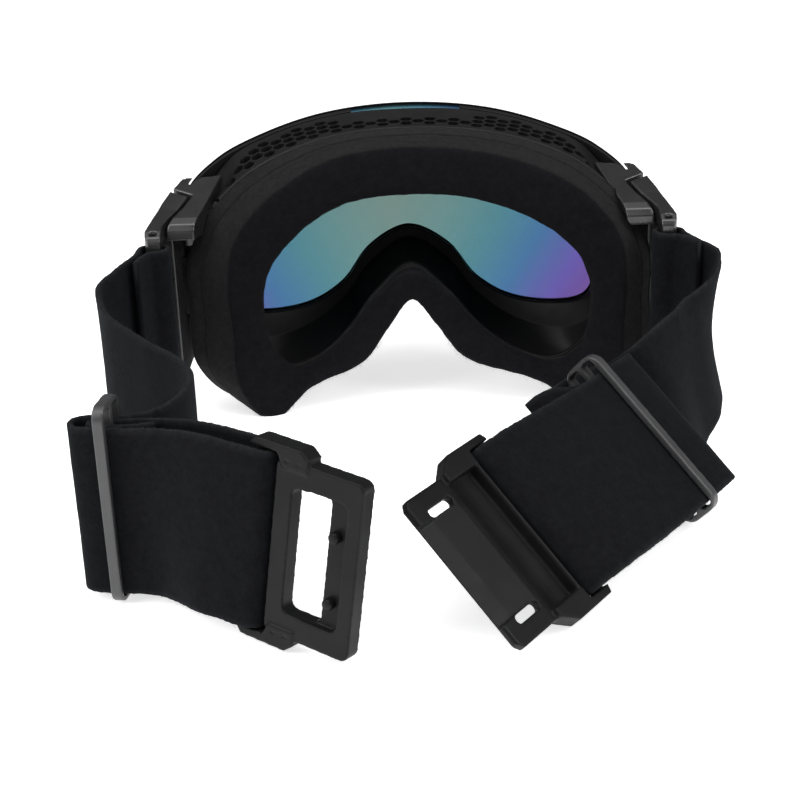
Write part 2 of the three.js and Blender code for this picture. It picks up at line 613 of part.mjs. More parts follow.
// ---------------------------------------------------------------- assembly
const PAINT = {
  rubber: { color: 0x17181a, roughness: 0.55, metalness: 0 },
  plastic: { color: 0x1b1c1f, roughness: 0.4, metalness: 0 },
  lens: { color: 0x4f8296, roughness: 0.05, metalness: 0.3 },
  clear: { color: 0x9fb4b6, roughness: 0.05, metalness: 0 },
  foam: { color: 0x1d1e20, roughness: 0.95, metalness: 0 },
  fleece: { color: 0x141416, roughness: 1, metalness: 0 },
  web: { color: 0x16181c, roughness: 0.95, metalness: 0 },
  steel: { color: 0x9a9da1, roughness: 0.35, metalness: 1 },
};
const goggles = new THREE.Group();
function piece(name, geometry, paint) {
  const mesh = new THREE.Mesh(geometry, new THREE.MeshStandardMaterial(PAINT[paint]));
  mesh.name = name;
  goggles.add(mesh);
}

piece('face_frame', frame(), 'rubber');
piece('lens_rim', lensRim(), 'plastic');
piece('outer_lens', outerLens(), 'lens');
piece('inner_lens', innerLens(), 'clear');
piece('lens_spacer', lensSpacer(), 'foam');
piece('foam_base', foamBase(), 'foam');
piece('foam_fleece', foamFleece(), 'fleece');
piece('top_vent_foam', ventFoam(-0.12, 0.12, 0.2, 0.85, 3.4, 33), 'foam');
MAGNET_PLACES.forEach(([x, z], i) => {
  for (const [label, side] of [['left', -1], ['right', 1]]) {
    const { radius, thick } = MAGNET;
    piece(`frame_magnet_${label}_${i + 1}`, disc(side * x, z, FRAME_FRONT + 0.25, thick, radius), 'steel');
    piece(`lens_magnet_${label}_${i + 1}`, disc(side * x, z, RIM_BACK - thick - 0.1, thick, radius), 'steel');
  }
});
for (const [label, half] of Object.entries(HALF)) {
  piece(`strap_arm_${label}`, strapArm(half.side), 'plastic');
  piece(`arm_pin_${label}`, armPin(half.side), 'steel');
  piece(`strap_${label}`, webbing(half), 'web');
  piece(`slider_${label}`, slider(half), 'plastic');
}
piece('clip_window_left', windowClip(HALF.left), 'plastic');
piece('clip_plate_right', plateClip(HALF.right), 'plastic');

// Origin at the middle of the footprint, on the surface the goggles stand on.
const bounds = new THREE.Box3().setFromObject(goggles);
const middle = bounds.getCenter(new THREE.Vector3());
goggles.position.set(-middle.x, -middle.y, -bounds.min.z);
const part = new THREE.Group();
part.add(goggles);

export default part;
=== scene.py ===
"""Ski goggles: fine surfaces, materials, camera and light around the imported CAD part."""

import math

import bpy
import numpy as np
from mathutils import Matrix, Vector, noise


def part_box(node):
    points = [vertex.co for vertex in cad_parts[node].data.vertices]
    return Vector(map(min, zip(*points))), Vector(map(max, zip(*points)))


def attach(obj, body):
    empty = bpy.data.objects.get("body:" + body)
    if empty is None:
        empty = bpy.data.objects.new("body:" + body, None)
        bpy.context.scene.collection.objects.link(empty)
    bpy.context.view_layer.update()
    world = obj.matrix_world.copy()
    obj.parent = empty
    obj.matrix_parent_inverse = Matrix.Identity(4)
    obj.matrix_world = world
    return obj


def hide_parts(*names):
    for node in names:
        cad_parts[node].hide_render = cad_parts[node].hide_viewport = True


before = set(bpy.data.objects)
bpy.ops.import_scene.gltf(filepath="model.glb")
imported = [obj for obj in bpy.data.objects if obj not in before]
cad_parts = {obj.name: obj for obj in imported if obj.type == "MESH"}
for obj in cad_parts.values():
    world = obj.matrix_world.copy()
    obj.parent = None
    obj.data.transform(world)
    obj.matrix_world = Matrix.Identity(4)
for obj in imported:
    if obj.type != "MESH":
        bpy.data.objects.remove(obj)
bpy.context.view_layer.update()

# ---------------------------------------------------------------- frame of the goggles, in millimetres
# x: wearer's right, y: forward from the lens, z: up; OFFSET takes it to the row frame.
_lens_low, _lens_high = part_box("outer_lens")
_arm_low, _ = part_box("strap_arm_right")
OFFSET = np.array([
    (_lens_low.x + _lens_high.x) / 2,
    _arm_low.y + 0.0733,
    _lens_high.z - 0.1,
])

LENS_RADIUS = 100.0
LENS_RADIUS_V = 160.0
FRAME_FRONT = 6.6
GAP = 0.3
WALL = 2.2
FLANGE = 2.8  # thickness of the flange that the lens rests against
WAIST = 5.5
WEB_WIDTH = 50.0
WEB_THICK = 1.8
LAYER = 4.2

OUTLINE = {
    "lens": [[0, 100], [30, 98], [52, 93], [68, 87], [78.5, 78], [80.5, 63], [79, 46], [74.5, 29], [60, 15],
             [42, 16], [27, 24], [15, 37], [0, 45]],
    "opening": [[0, 90], [27, 88], [45, 84], [59, 77], [68, 67], [70, 55], [68, 42], [64, 31], [54, 27],
                [38, 27], [26, 33], [15, 46], [0, 53]],
    "base": [[0, 97.5], [26, 96], [46, 91.5], [62, 84], [76, 71], [82.5, 57], [83, 42], [82, 18], [68, 2.5],
             [43, 7.5], [20, 17], [10, 31], [0, 41]],
    "baseInner": [[0, 83], [22, 81.5], [38, 77], [51, 69], [61, 60], [65, 50], [65, 38], [61, 22], [51, 13],
                  [38, 15], [25, 24], [13, 38], [0, 48]],
    "ridge": [[0, 94], [26, 91.5], [44, 85.5], [58, 76.5], [67.5, 64], [70, 50], [69.5, 32], [68.5, 12],
              [58, -2.4], [43, 8], [18, 17], [9, 28.5], [0, 39]],
    "faceInner": [[0, 77], [20, 75.5], [34, 71], [45.5, 64.5], [54, 56], [57.5, 47], [58, 37], [55, 24],
                  [47, 16.5], [37, 18.5], [26, 26], [14, 39], [0, 48.5]],
}


def catmull(points, t, closed):
    """Centripetal Catmull-Rom curve through points, at the parameters t (0 to 1)."""
    points = np.asarray(points, float)
    count = len(points)
    spans = count if closed else count - 1
    at = np.clip(np.asarray(t, float), 0, 1) * spans
    if closed:
        first = np.floor(at).astype(int) % count
        weight = at - np.floor(at)
        p0, p1, p2, p3 = (points[(first + k) % count] for k in (-1, 0, 1, 2))
    else:
        first = np.minimum(np.floor(at).astype(int), spans - 1)
        weight = at - first
        padded = np.vstack([2 * points[0] - points[1], points, 2 * points[-1] - points[-2]])
        p0, p1, p2, p3 = (padded[first + 1 + k] for k in (-1, 0, 1, 2))

    def step(a, b):
        return np.maximum(((a - b) ** 2).sum(1), 1e-12)[:, None] ** 0.25

    d0, d1, d2 = step(p0, p1), step(p1, p2), step(p2, p3)
    m1 = ((p1 - p0) / d0 - (p2 - p0) / (d0 + d1) + (p2 - p1) / d1) * d1
    m2 = ((p2 - p1) / d1 - (p3 - p1) / (d1 + d2) + (p3 - p2) / d2) * d1
    w = weight[:, None]
    return p1 + m1 * w + (3 * (p2 - p1) - 2 * m1 - m2) * w ** 2 + (2 * (p1 - p2) + m1 + m2) * w ** 3


def outline(name, u):
    half = OUTLINE[name]
    points = half + [[-x, z] for x, z in reversed(half[1:-1])]
    return catmull(points, u, True)


def lens_y(x, z):
    return np.sqrt(LENS_RADIUS ** 2 - x * x) - LENS_RADIUS - (z - 55) ** 2 / (2 * LENS_RADIUS_V)


def base_y(x):
    return -38 - 24 * (x / 85) ** 2


def face_y(x):
    return -57 - 16 * (x / 75) ** 2


def between(a, b, t, u):
    return (1 - t) * outline(a, u) + t * outline(b, u)


def lift(xz, y):
    return np.column_stack([xz[:, 0], np.broadcast_to(y, len(xz)), xz[:, 1]])


def on_lens(t, u, back):
    p = between("lens", "opening", t, u)
    return lift(p, lens_y(p[:, 0], p[:, 1]) - back)


def smoothstep(x, a, b):
    s = np.clip((x - a) / (b - a), 0, 1)
    return s * s * (3 - 2 * s)


def set_over(p, left, right):
    """The face side is set a little towards the wearer's right of the lens, except at the nose."""
    p[:, 0] += np.where(p[:, 0] < 0, left, right) * smoothstep(np.abs(p[:, 0]), 12, 55)
    return p


def on_base(t, u, forward=0.0):
    p = set_over(between("base", "baseInner", t, u), 4.0, 0.6)
    return lift(p, base_y(p[:, 0]) + forward)


def on_face(t, u, forward=0.0):
    p = set_over(between("ridge", "faceInner", t, u), 6.0, 4.0)
    return lift(p, face_y(p[:, 0]) + forward)


def frame_outer(u, v):
    """Outside of the face frame, from the lens (v = 0) back to the foam (v = 1)."""
    top = smoothstep(on_lens(0, u, 0)[:, 2], 84, 92)[:, None]
    p = (1 - top) * on_lens(0.28, u, FRAME_FRONT) + top * on_lens(0.05, u, FRAME_FRONT)
    p = (1 - v) * p + v * on_base(0, u)
    draw = WAIST * smoothstep(np.abs(p[:, 0]), 58, 74) * max(0.0, 1 - abs(v - 0.45) / 0.45)
    p[:, 0] -= np.sign(p[:, 0]) * draw
    return p


def unit(v):
    v = np.asarray(v, float)
    return v / np.maximum(np.linalg.norm(v, axis=-1, keepdims=True), 1e-9)


# ---------------------------------------------------------------- mesh helpers
def to_object(name, vertices, faces, smooth=True, sharp=40.0):
    mesh = bpy.data.meshes.new(name)
    mesh.from_pydata((np.asarray(vertices, float) / 1000 + OFFSET).tolist(), [], faces)
    mesh.validate()
    obj = bpy.data.objects.new(name, mesh)
    bpy.context.scene.collection.objects.link(obj)
    if smooth:
        mesh.shade_smooth()
        mesh.set_sharp_from_angle(angle=math.radians(sharp))
    return obj


def grid_faces(rows, columns, wrap_rows, wrap_columns):
    faces = []
    for i in range(rows if wrap_rows else rows - 1):
        here = i * columns
        there = ((i + 1) % rows) * columns
        for k in range(columns if wrap_columns else columns - 1):
            l = (k + 1) % columns
            faces.append((here + k, here + l, there + l, there + k))
    return faces


def outward(vertices, faces):
    """The faces, turned so that a closed body's volume is positive."""
    volume = 0.0
    v = np.asarray(vertices, float)
    v = v - v.mean(0)
    for face in faces:
        a = v[face[0]]
        for i in range(1, len(face) - 1):
            volume += a.dot(np.cross(v[face[i]], v[face[i + 1]]))
    return faces if volume > 0 else [tuple(reversed(face)) for face in faces]


def soften(corners, radii, steps=3):
    """Rounds the corners of a ring's cross-section. corners: list of (stations, 3) arrays."""
    result = []
    count = len(corners)
    for k in range(count):
        here, before, after = corners[k], corners[k - 1], corners[(k + 1) % count]
        radius = radii[k] if hasattr(radii, "__len__") else radii
        if radius <= 0:
            result.append(here)
            continue
        back = np.linalg.norm(before - here, axis=1, keepdims=True)
        on = np.linalg.norm(after - here, axis=1, keepdims=True)
        a = here + (before - here) * np.minimum(radius / np.maximum(back, 1e-6), 0.45)
        b = here + (after - here) * np.minimum(radius / np.maximum(on, 1e-6), 0.45)
        for i in range(steps + 1):
            t = i / steps
            result.append((1 - t) ** 2 * a + 2 * t * (1 - t) * here + t * t * b)
    return result


def ring_solid(corners, radii=0.0, steps=3):
    """Ring swept round the outlines, from the corners of its cross-section at each station."""
    section = soften(corners, radii, steps)
    vertices = np.stack(section, axis=1).reshape(-1, 3)
    return vertices, outward(vertices, grid_faces(len(section[0]), len(section), True, True))


def ring(name, corners, radii=0.0, steps=3, sharp=50.0):
    vertices, faces = ring_solid(corners, radii, steps)
    return to_object(name, vertices, faces, sharp=sharp)


def sweep(name, sections, sharp=50.0):
    """Closed body through open-ended sections: array (stations, points, 3)."""
    stations, points, _ = sections.shape
    vertices = sections.reshape(-1, 3)
    faces = grid_faces(stations, points, False, True)
    faces.append(tuple(reversed(range(points))))
    faces.append(tuple((stations - 1) * points + k for k in range(points)))
    return to_object(name, vertices, outward(vertices, faces), sharp=sharp)


def apply_modifiers(obj):
    bpy.context.view_layer.update()
    evaluated = obj.evaluated_get(bpy.context.evaluated_depsgraph_get())
    mesh = bpy.data.meshes.new_from_object(evaluated)
    obj.modifiers.clear()
    old = obj.data
    obj.data = mesh
    bpy.data.meshes.remove(old)
    return obj


def merged(name, parts):
    """One object from several meshes (vertices, faces)."""
    vertices = []
    faces = []
    for v, f in parts:
        first = len(vertices)
        vertices.extend([tuple(p) for p in v])
        faces.extend([tuple(first + i for i in face) for face in outward(v, f)])
    return to_object(name, vertices, faces, smooth=False)


def cut_by(obj, cutters, solver="MANIFOLD"):
    tool = merged(obj.name + "_tool", cutters)
    modifier = obj.modifiers.new("cut", "BOOLEAN")
    modifier.operation = "DIFFERENCE"
    modifier.solver = solver
    modifier.object = tool
    apply_modifiers(obj)
    bpy.data.objects.remove(tool)
    return obj


def prism(outline_points, c0, c1, axes=None, origin=(0, 0, 0)):
    """Extruded polygon: outline in (a, b), from c0 to c1; axes are the directions of a, b and c."""
    a_axis, b_axis, c_axis = (np.array(v, float) for v in (axes or np.eye(3)))
    count = len(outline_points)
    flat = [np.array(origin) + a * a_axis + b * b_axis for a, b in outline_points]
    vertices = [p + c * c_axis for c in (c0, c1) for p in flat]
    faces = [tuple(range(count)), tuple(reversed(range(count, 2 * count)))]
    faces += [(k, k + count, (k + 1) % count + count, (k + 1) % count) for k in range(count)]
    return vertices, faces


def cuboid(a0, a1, b0, b1, c0, c1, axes=None, origin=(0, 0, 0)):
    return prism([[a0, b0], [a1, b0], [a1, b1], [a0, b1]], c0, c1, axes, origin)


def polygon(radius, sides):
    turns = [2 * math.pi * k / sides for k in range(sides)]
    return [[radius * math.cos(turn), radius * math.sin(turn)] for turn in turns]


def cylinder(centre, axis, radius, length, sides=24):
    axis = unit(axis)
    side = unit(np.cross(axis, [0.3, 0.5, 0.81]))
    other = np.cross(axis, side)
    return prism(polygon(radius, sides), -length / 2, length / 2, (side, other, axis), centre)


def round_rectangle(a0, a1, b0, b1, r, steps=6):
    points = []
    for a, b, quarter in ((a1 - r, b1 - r, 0), (a0 + r, b1 - r, 1), (a0 + r, b0 + r, 2), (a1 - r, b0 + r, 3)):
        for i in range(steps + 1):
            angle = (quarter + i / steps) * math.pi / 2
            points.append([a + r * math.cos(angle), b + r * math.sin(angle)])
    return points


def moulded(name, solids, cutters=(), voxel=0.3, passes=4):
    """A moulded piece with softly rounded edges: solids joined, cut, then evened out."""
    obj = merged(name, solids)
    remesh = obj.modifiers.new("join", "REMESH")
    remesh.mode = "VOXEL"
    remesh.voxel_size = voxel / 1000
    apply_modifiers(obj)
    for cutter in cutters:
        cut_by(obj, [cutter])
    if cutters:
        remesh = obj.modifiers.new("even", "REMESH")
        remesh.mode = "VOXEL"
        remesh.voxel_size = voxel / 1000
    smooth = obj.modifiers.new("soften", "SMOOTH")
    smooth.factor = 0.5
    smooth.iterations = passes
    apply_modifiers(obj)
    obj.data.shade_smooth()
    return obj


# ---------------------------------------------------------------- materials
def material(name):
    m = bpy.data.materials.new(name)
    m.use_nodes = True
    tree = m.node_tree
    shader = tree.nodes["Principled BSDF"]
    return m, tree, shader


def link(tree, a, b):
    tree.links.new(a, b)


def coordinates(tree):
    return tree.nodes.new("ShaderNodeTexCoord").outputs["Object"]


def noise_node(tree, scale, detail=4.0, rough=0.55, source=None):
    n = tree.nodes.new("ShaderNodeTexNoise")
    n.inputs["Scale"].default_value = scale
    n.inputs["Detail"].default_value = detail
    n.inputs["Roughness"].default_value = rough
    link(tree, source or coordinates(tree), n.inputs["Vector"])
    return n.outputs["Fac"]


def ramp(tree, source, stops):
    r = tree.nodes.new("ShaderNodeValToRGB")
    while len(r.color_ramp.elements) < len(stops):
        r.color_ramp.elements.new(0.5)
    for element, (position, colour) in zip(r.color_ramp.elements, stops):
        element.position = position
        element.color = (*colour, 1) if len(colour) == 3 else colour
    link(tree, source, r.inputs["Fac"])
    return r.outputs["Color"]


def bump(tree, shader, height, strength, distance, chain=None):
    b = tree.nodes.new("ShaderNodeBump")
    b.inputs["Strength"].default_value = strength
    b.inputs["Distance"].default_value = distance
    link(tree, height, b.inputs["Height"])
    if chain is not None:
        link(tree, chain, b.inputs["Normal"])
    link(tree, b.outputs["Normal"], shader.inputs["Normal"])
    return b.outputs["Normal"]


def grey(value, tint=(1, 1, 1)):
    return tuple(value * t for t in tint)


def moulded_plastic(name, dark, light, rough=(0.42, 0.56), grain=900, depth=0.00005, specular=0.35):
    """Moulded plastic: faint flow variation in colour and gloss, and a fine spark-eroded grain."""
    m, tree, shader = material(name)
    flow = noise_node(tree, 60, 3)
    link(tree, ramp(tree, flow, [(0.3, dark), (0.7, light)]), shader.inputs["Base Color"])
    gloss = ramp(tree, noise_node(tree, 180, 5), [(0.3, grey(rough[0])), (0.7, grey(rough[1]))])
    link(tree, gloss, shader.inputs["Roughness"])
    shader.inputs["Specular IOR Level"].default_value = specular
    fine = bump(tree, shader, noise_node(tree, grain, 2), 0.35, depth)
    bump(tree, shader, noise_node(tree, 35, 2), 0.25, depth * 4, fine)
    return m


def metal(name, colour, rough):
    m, tree, shader = material(name)
    shader.inputs["Metallic"].default_value = 1.0
    tint = ramp(tree, noise_node(tree, 300, 4), [(0.2, grey(0.8, colour)), (0.8, colour)])
    link(tree, tint, shader.inputs["Base Color"])
    gloss = ramp(tree, noise_node(tree, 500, 3), [(0.3, grey(rough)), (0.7, grey(rough + 0.15))])
    link(tree, gloss, shader.inputs["Roughness"])
    bump(tree, shader, noise_node(tree, 1500, 2), 0.2, 0.00003)
    return m


def fleece_material(name, dark, light, sheen, sheen_tint, nap=700, clump=90, depth=0.00035, attribute=None,
                    edge=None):
    """Brushed fleece or foam: mottled nap, soft sheen and a fibrous surface. attribute mixes towards edge."""
    m, tree, shader = material(name)
    source = coordinates(tree)
    mottled = tree.nodes.new("ShaderNodeMix")
    mottled.data_type = "RGBA"
    mottled.blend_type = "MIX"
    link(tree, noise_node(tree, clump, 6, 0.7, source), mottled.inputs["Factor"])
    fine_nap = noise_node(tree, nap, 4, 0.6, source)
    coarse_nap = noise_node(tree, nap * 0.4, 4, 0.7, source)
    link(tree, ramp(tree, fine_nap, [(0.3, dark), (0.72, light)]), mottled.inputs["A"])
    link(tree, ramp(tree, coarse_nap, [(0.35, dark), (0.8, light)]), mottled.inputs["B"])
    colour = mottled.outputs["Result"]
    if attribute:
        read = tree.nodes.new("ShaderNodeAttribute")
        read.attribute_name = attribute
        mix = tree.nodes.new("ShaderNodeMix")
        mix.data_type = "RGBA"
        link(tree, read.outputs["Fac"], mix.inputs["Factor"])
        link(tree, colour, mix.inputs["A"])
        link(tree, ramp(tree, fine_nap, [(0.3, grey(0.6, edge)), (0.75, edge)]), mix.inputs["B"])
        colour = mix.outputs["Result"]
    link(tree, colour, shader.inputs["Base Color"])
    shader.inputs["Roughness"].default_value = 0.95
    shader.inputs["Specular IOR Level"].default_value = 0.05
    shader.inputs["Sheen Weight"].default_value = sheen
    shader.inputs["Sheen Roughness"].default_value = 0.55
    shader.inputs["Sheen Tint"].default_value = (*sheen_tint, 1)
    fine = bump(tree, shader, noise_node(tree, nap, 5, 0.75, source), 0.7, depth)
    bump(tree, shader, noise_node(tree, clump * 1.6, 4, 0.7, source), 0.5, depth * 1.6, fine)
    return m


def scalar(tree, operation, first, second):
    """Value of a math node; each input is a socket or a number."""
    node = tree.nodes.new("ShaderNodeMath")
    node.operation = operation
    for i, value in enumerate((first, second)):
        if isinstance(value, (int, float)):
            node.inputs[i].default_value = value
        else:
            link(tree, value, node.inputs[i])
    return node.outputs[0]


TINT_MIDDLE = 0.006  # how far the tint's middle lies to the wearer's left
# height above which a blue reflection of the mirror coating is painted into the lens colour
PAINTED_REFLECTION_HEIGHT = 0.0925


def lens_material(name):
    """Mirror-tinted lens: grey green in the middle, through teal and blue to violet at the sides; along the
    top, a painted blue reflection.
    """
    m, tree, shader = material(name)
    source = coordinates(tree)
    split = tree.nodes.new("ShaderNodeSeparateXYZ")
    link(tree, source, split.inputs["Vector"])
    # grows towards the sides and towards the bottom
    from_middle = scalar(tree, "SUBTRACT", split.outputs["X"], float(OFFSET[0]) - TINT_MIDDLE)
    across = scalar(tree, "ABSOLUTE", from_middle, 0.0)
    height = scalar(tree, "MULTIPLY", split.outputs["Z"], -5.0)
    # above this height the colour moves further along the ramp, towards blue: a painted reflection of the
    # mirror coating along the lens's top strip
    above = scalar(tree, "SUBTRACT", split.outputs["Z"], PAINTED_REFLECTION_HEIGHT)
    strip = scalar(tree, "MAXIMUM", scalar(tree, "MULTIPLY", above, 150.0), 0.0)
    upright = scalar(tree, "ADD", scalar(tree, "ADD", height, 0.4), scalar(tree, "MINIMUM", strip, 0.5))
    total = scalar(tree, "ADD", scalar(tree, "MULTIPLY", across, 8.6), upright)
    wander = scalar(tree, "ADD", total, scalar(tree, "MULTIPLY", noise_node(tree, 14, 2, 0.5, source), 0.05))
    tint = ramp(tree, wander, [
        (0.14, (0.13, 0.19, 0.175)),
        (0.34, (0.1, 0.19, 0.19)),
        (0.5, (0.065, 0.17, 0.205)),
        (0.66, (0.05, 0.125, 0.25)),
        (0.8, (0.1, 0.075, 0.28)),
        (0.95, (0.13, 0.05, 0.17)),
    ])
    border = tree.nodes.new("ShaderNodeAttribute")
    border.attribute_name = "border"
    edged = tree.nodes.new("ShaderNodeMix")
    edged.data_type = "RGBA"
    edged.inputs["B"].default_value = (0.006, 0.006, 0.007, 1)
    link(tree, border.outputs["Fac"], edged.inputs["Factor"])
    link(tree, tint, edged.inputs["A"])
    link(tree, edged.outputs["Result"], shader.inputs["Base Color"])
    link(tree, scalar(tree, "SUBTRACT", 1.0, border.outputs["Fac"]), shader.inputs["Transmission Weight"])
    shader.inputs["Roughness"].default_value = 0.06
    shader.inputs["IOR"].default_value = 1.28
    bump(tree, shader, noise_node(tree, 9, 1), 0.05, 0.0002)
    return m


def clear_material(name):
    m, tree, shader = material(name)
    tint = ramp(tree, noise_node(tree, 12, 2), [(0.3, (0.9, 0.94, 0.93)), (0.7, (0.95, 0.97, 0.96))])
    link(tree, tint, shader.inputs["Base Color"])
    shader.inputs["Roughness"].default_value = 0.03
    shader.inputs["IOR"].default_value = 1.2
    shader.inputs["Transmission Weight"].default_value = 1.0
    bump(tree, shader, noise_node(tree, 8, 1), 0.04, 0.0002)
    return m


SOFT_GREY = (0.5, 0.5, 0.5)
MAT = {
    "frame": moulded_plastic("frame_satin", grey(0.006), grey(0.01, (0.98, 0.99, 1.04)), (0.42, 0.54),
                             specular=0.22),
    "rim": moulded_plastic("rim_satin", grey(0.005), grey(0.008), (0.45, 0.55), specular=0.2),
    "arm": moulded_plastic("arm_satin", grey(0.01), grey(0.016, (0.98, 0.99, 1.06)), (0.26, 0.36),
                           specular=0.9),
    "buckle": moulded_plastic("buckle_satin", grey(0.007), grey(0.011, (0.98, 0.99, 1.04)), (0.34, 0.46),
                              specular=0.13),
    "slider": moulded_plastic("slider_satin", grey(0.035), grey(0.05, (0.98, 0.99, 1.04)), (0.32, 0.44),
                              specular=0.6),
    "steel": metal("pin_steel", (0.55, 0.55, 0.57), 0.28),
    "magnet": metal("magnet_nickel", (0.6, 0.6, 0.62), 0.2),
    "lens": lens_material("lens_mirror_tint"),
    "clear": clear_material("lens_clear"),
    "spacer": fleece_material("spacer_foam", grey(0.008), grey(0.02), 0.05, (0.5, 0.5, 0.55), nap=1200,
                              clump=300, depth=0.0001),
    "vent": fleece_material("vent_foam", grey(0.003), grey(0.009), 0.02, SOFT_GREY, nap=900, clump=400,
                            depth=0.0004),
    "side": fleece_material("foam_side", grey(0.008), grey(0.018, (1, 0.98, 0.96)), 0.1, (0.6, 0.6, 0.6),
                            nap=650, clump=110),
    "face": fleece_material("foam_face", grey(0.004, (1, 0.97, 1.12)), grey(0.009, (1, 0.97, 1.15)), 0.04,
                            (0.55, 0.55, 0.6), nap=650, clump=110, attribute="side",
                            edge=grey(0.02, (1, 0.98, 0.96))),
    "web": fleece_material("webbing_fleece", grey(0.004, (0.97, 1, 1.12)), grey(0.01, (0.97, 1, 1.12)), 0.03,
                           (0.55, 0.62, 0.75), nap=800, clump=120, depth=0.0002, attribute="edge",
                           edge=grey(0.024, (0.97, 1, 1.06))),
    "fuzz": fleece_material("fibre_ends", grey(0.014), grey(0.045), 0.15, (0.7, 0.7, 0.72), nap=900,
                            clump=200),
}


def finish_piece(obj, mat, body, slot, *nodes):
    for vertex in obj.data.vertices:
        vertex.co.z = max(vertex.co.z, 0.0)
    obj.data.materials.clear()
    obj.data.materials.append(MAT[mat])
    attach(obj, body)
    if nodes:
        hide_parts(*nodes)
    return obj


# ---------------------------------------------------------------- lens
def fine_plate(name, edge, back, thick, stations=192):
    """Lens: a closed plate from its outline to its middle, on the lens surface."""
    steps = [1, 0.99, 0.97, 0.93, 0.86, 0.77, 0.66, 0.54, 0.42, 0.3, 0.19, 0.1]
    u = np.arange(stations) / stations
    rim = edge(u)
    vertices = []
    for offset in (back, back + thick):
        for s in steps:
            x = rim[:, 0] * s
            z = 72 + (rim[:, 1] - 72) * s
            vertices.append(np.column_stack([x, lens_y(x, z) - offset, z]))
    middle = [[0, lens_y(0, 72) - back, 72], [0, lens_y(0, 72) - back - thick, 72]]
    vertices = np.vstack(vertices + [np.array(middle)])
    rows = len(steps)
    faces = grid_faces(rows, stations, False, True)
    rear = rows * stations
    faces += [tuple(reversed([i + rear for i in face])) for face in grid_faces(rows, stations, False, True)]
    top, bottom = len(vertices) - 2, len(vertices) - 1
    inner = (rows - 1) * stations
    for i in range(stations):
        j = (i + 1) % stations
        faces.append((inner + i, inner + j, top))
        faces.append((rear + inner + j, rear + inner + i, bottom))
        faces.append((j, i, rear + i, rear + j))
    plate = to_object(name, vertices, outward(vertices, faces), sharp=30)
    shade = [1.0, 1.0, 0.85, 0.0]
    row = np.minimum(np.arange(len(vertices)) % rear // stations, len(shade) - 1)
    attribute = plate.data.attributes.new("border", "FLOAT", "POINT")
    attribute.data.foreach_set("value", np.array(shade, np.float32)[row])
    return plate


def lens_section(t0, t1, back0, back1, u):
    """Rectangular section of a ring on the lens surface: t across the rim, back behind the surface."""
    return [on_lens(t0, u, back0), on_lens(t1, u, back0), on_lens(t1, u, back1), on_lens(t0, u, back1)]


def build_lens():
    outer = fine_plate("front_lens", lambda u: between("lens", "opening", 0.0, u), 0.0, 1.2)
    finish_piece(outer, "lens", "lens", "tinted_lens", "outer_lens")
    inner = fine_plate("rear_lens", lambda u: between("lens", "opening", 0.7, u), 4.6, 0.8)
    finish_piece(inner, "clear", "lens", "clear_lens", "inner_lens")
    u = np.arange(360) / 360
    rim = ring("carrier_rim", lens_section(0.03, 0.62, 1.6, 6, u), 0.7)
    cut_by(rim, [notch()] + magnet_discs(6 - MAGNET_THICK - 0.4, 4, MAGNET_POCKET))
    rim.data.shade_smooth()
    rim.data.set_sharp_from_angle(angle=math.radians(40))
    finish_piece(rim, "rim", "lens", "rim", "lens_rim")
    spacer = ring("spacer_strip", lens_section(0.75, 0.95, 1.5, 4.3, u), 0.5)
    finish_piece(spacer, "spacer", "lens", "spacer_foam", "lens_spacer")


MAGNET_PLACES = [(28, 94.6), (57, 86.4), (52, 19.4)]
MAGNET_THICK = 1.4
MAGNET_POCKET = 2.5  # radius of the hole that a magnet sits in


# finger notch at the top centre
NOTCH_OUTLINE = [[-20, 105], [-20, 96.8], [-16, 94.4], [16, 94.4], [20, 96.8], [20, 105]]


def notch():
    return prism(NOTCH_OUTLINE, -15, 5, ((1, 0, 0), (0, 0, 1), (0, 1, 0)))


def magnet_discs(back, thick, radius, sides=20):
    discs = []
    for x0, z in MAGNET_PLACES:
        for x in (x0, -x0):
            turn = math.asin(x / LENS_RADIUS)
            axis = np.array([math.sin(turn), math.cos(turn), 0])
            front = np.array([x, float(lens_y(x, z)), z]) - axis * back * math.cos(turn)
            length = thick * math.cos(turn)
            discs.append(cylinder(front - axis * length / 2, axis, radius, length, sides))
    return discs


# ---------------------------------------------------------------- face frame
HINGE = (82.6, -54)  # x and y of the right arm's pin
PIN_BORE = 1.4
LUG_LOW, LUG_HIGH = 37, 58
VENT_PITCH = 5.0
VENT_RADIUS = 2.35
VENT_COLUMNS = 21  # counted outwards from the middle


def vent_tools():
    """Honeycomb vents along the top wall: columns across the face, every other one shifted half a pitch."""
    fine = np.linspace(0, 0.25, 801)
    path = frame_outer(fine, 0.55)
    travelled = np.concatenate([[0], np.cumsum(np.linalg.norm(np.diff(path, axis=0), axis=1))])
    centres, tools = [], []
    hexagon = polygon(VENT_RADIUS, 6)
    for column in range(VENT_COLUMNS):
        u = np.array([float(np.interp(column * VENT_PITCH * 0.866, travelled, fine))])
        depth = float(np.linalg.norm(frame_outer(u, 1.0) - frame_outer(u, 0.0)))
        x = float(frame_outer(u, 0.5)[0, 0])
        front_limit = 15.5 if x < 24 else 5.2 + 3 * max(0.0, (x - 52) / 22)
        for back in np.arange(depth - 4.1 - (column % 2) * VENT_PITCH / 2, front_limit, -VENT_PITCH):
            v = back / depth
            point = frame_outer(u, v)[0]
            if any(np.linalg.norm(point - c) < VENT_PITCH - 0.6 for c in centres):
                continue
            centres.append(point)
            along = unit(frame_outer(u + 0.002, v)[0] - frame_outer(u - 0.002, v)[0])
            deep = unit(frame_outer(u, v + 0.03)[0] - frame_outer(u, v - 0.03)[0])
            deep = unit(deep - along * deep.dot(along))
            for side in ((1, -1) if column else (1,)):
                flip = np.array([side, 1, 1])
                axes = (along * flip, deep * flip, np.cross(along, deep) * flip)
                tools.append(prism(hexagon, -6, 6, axes, point * flip))
    return tools


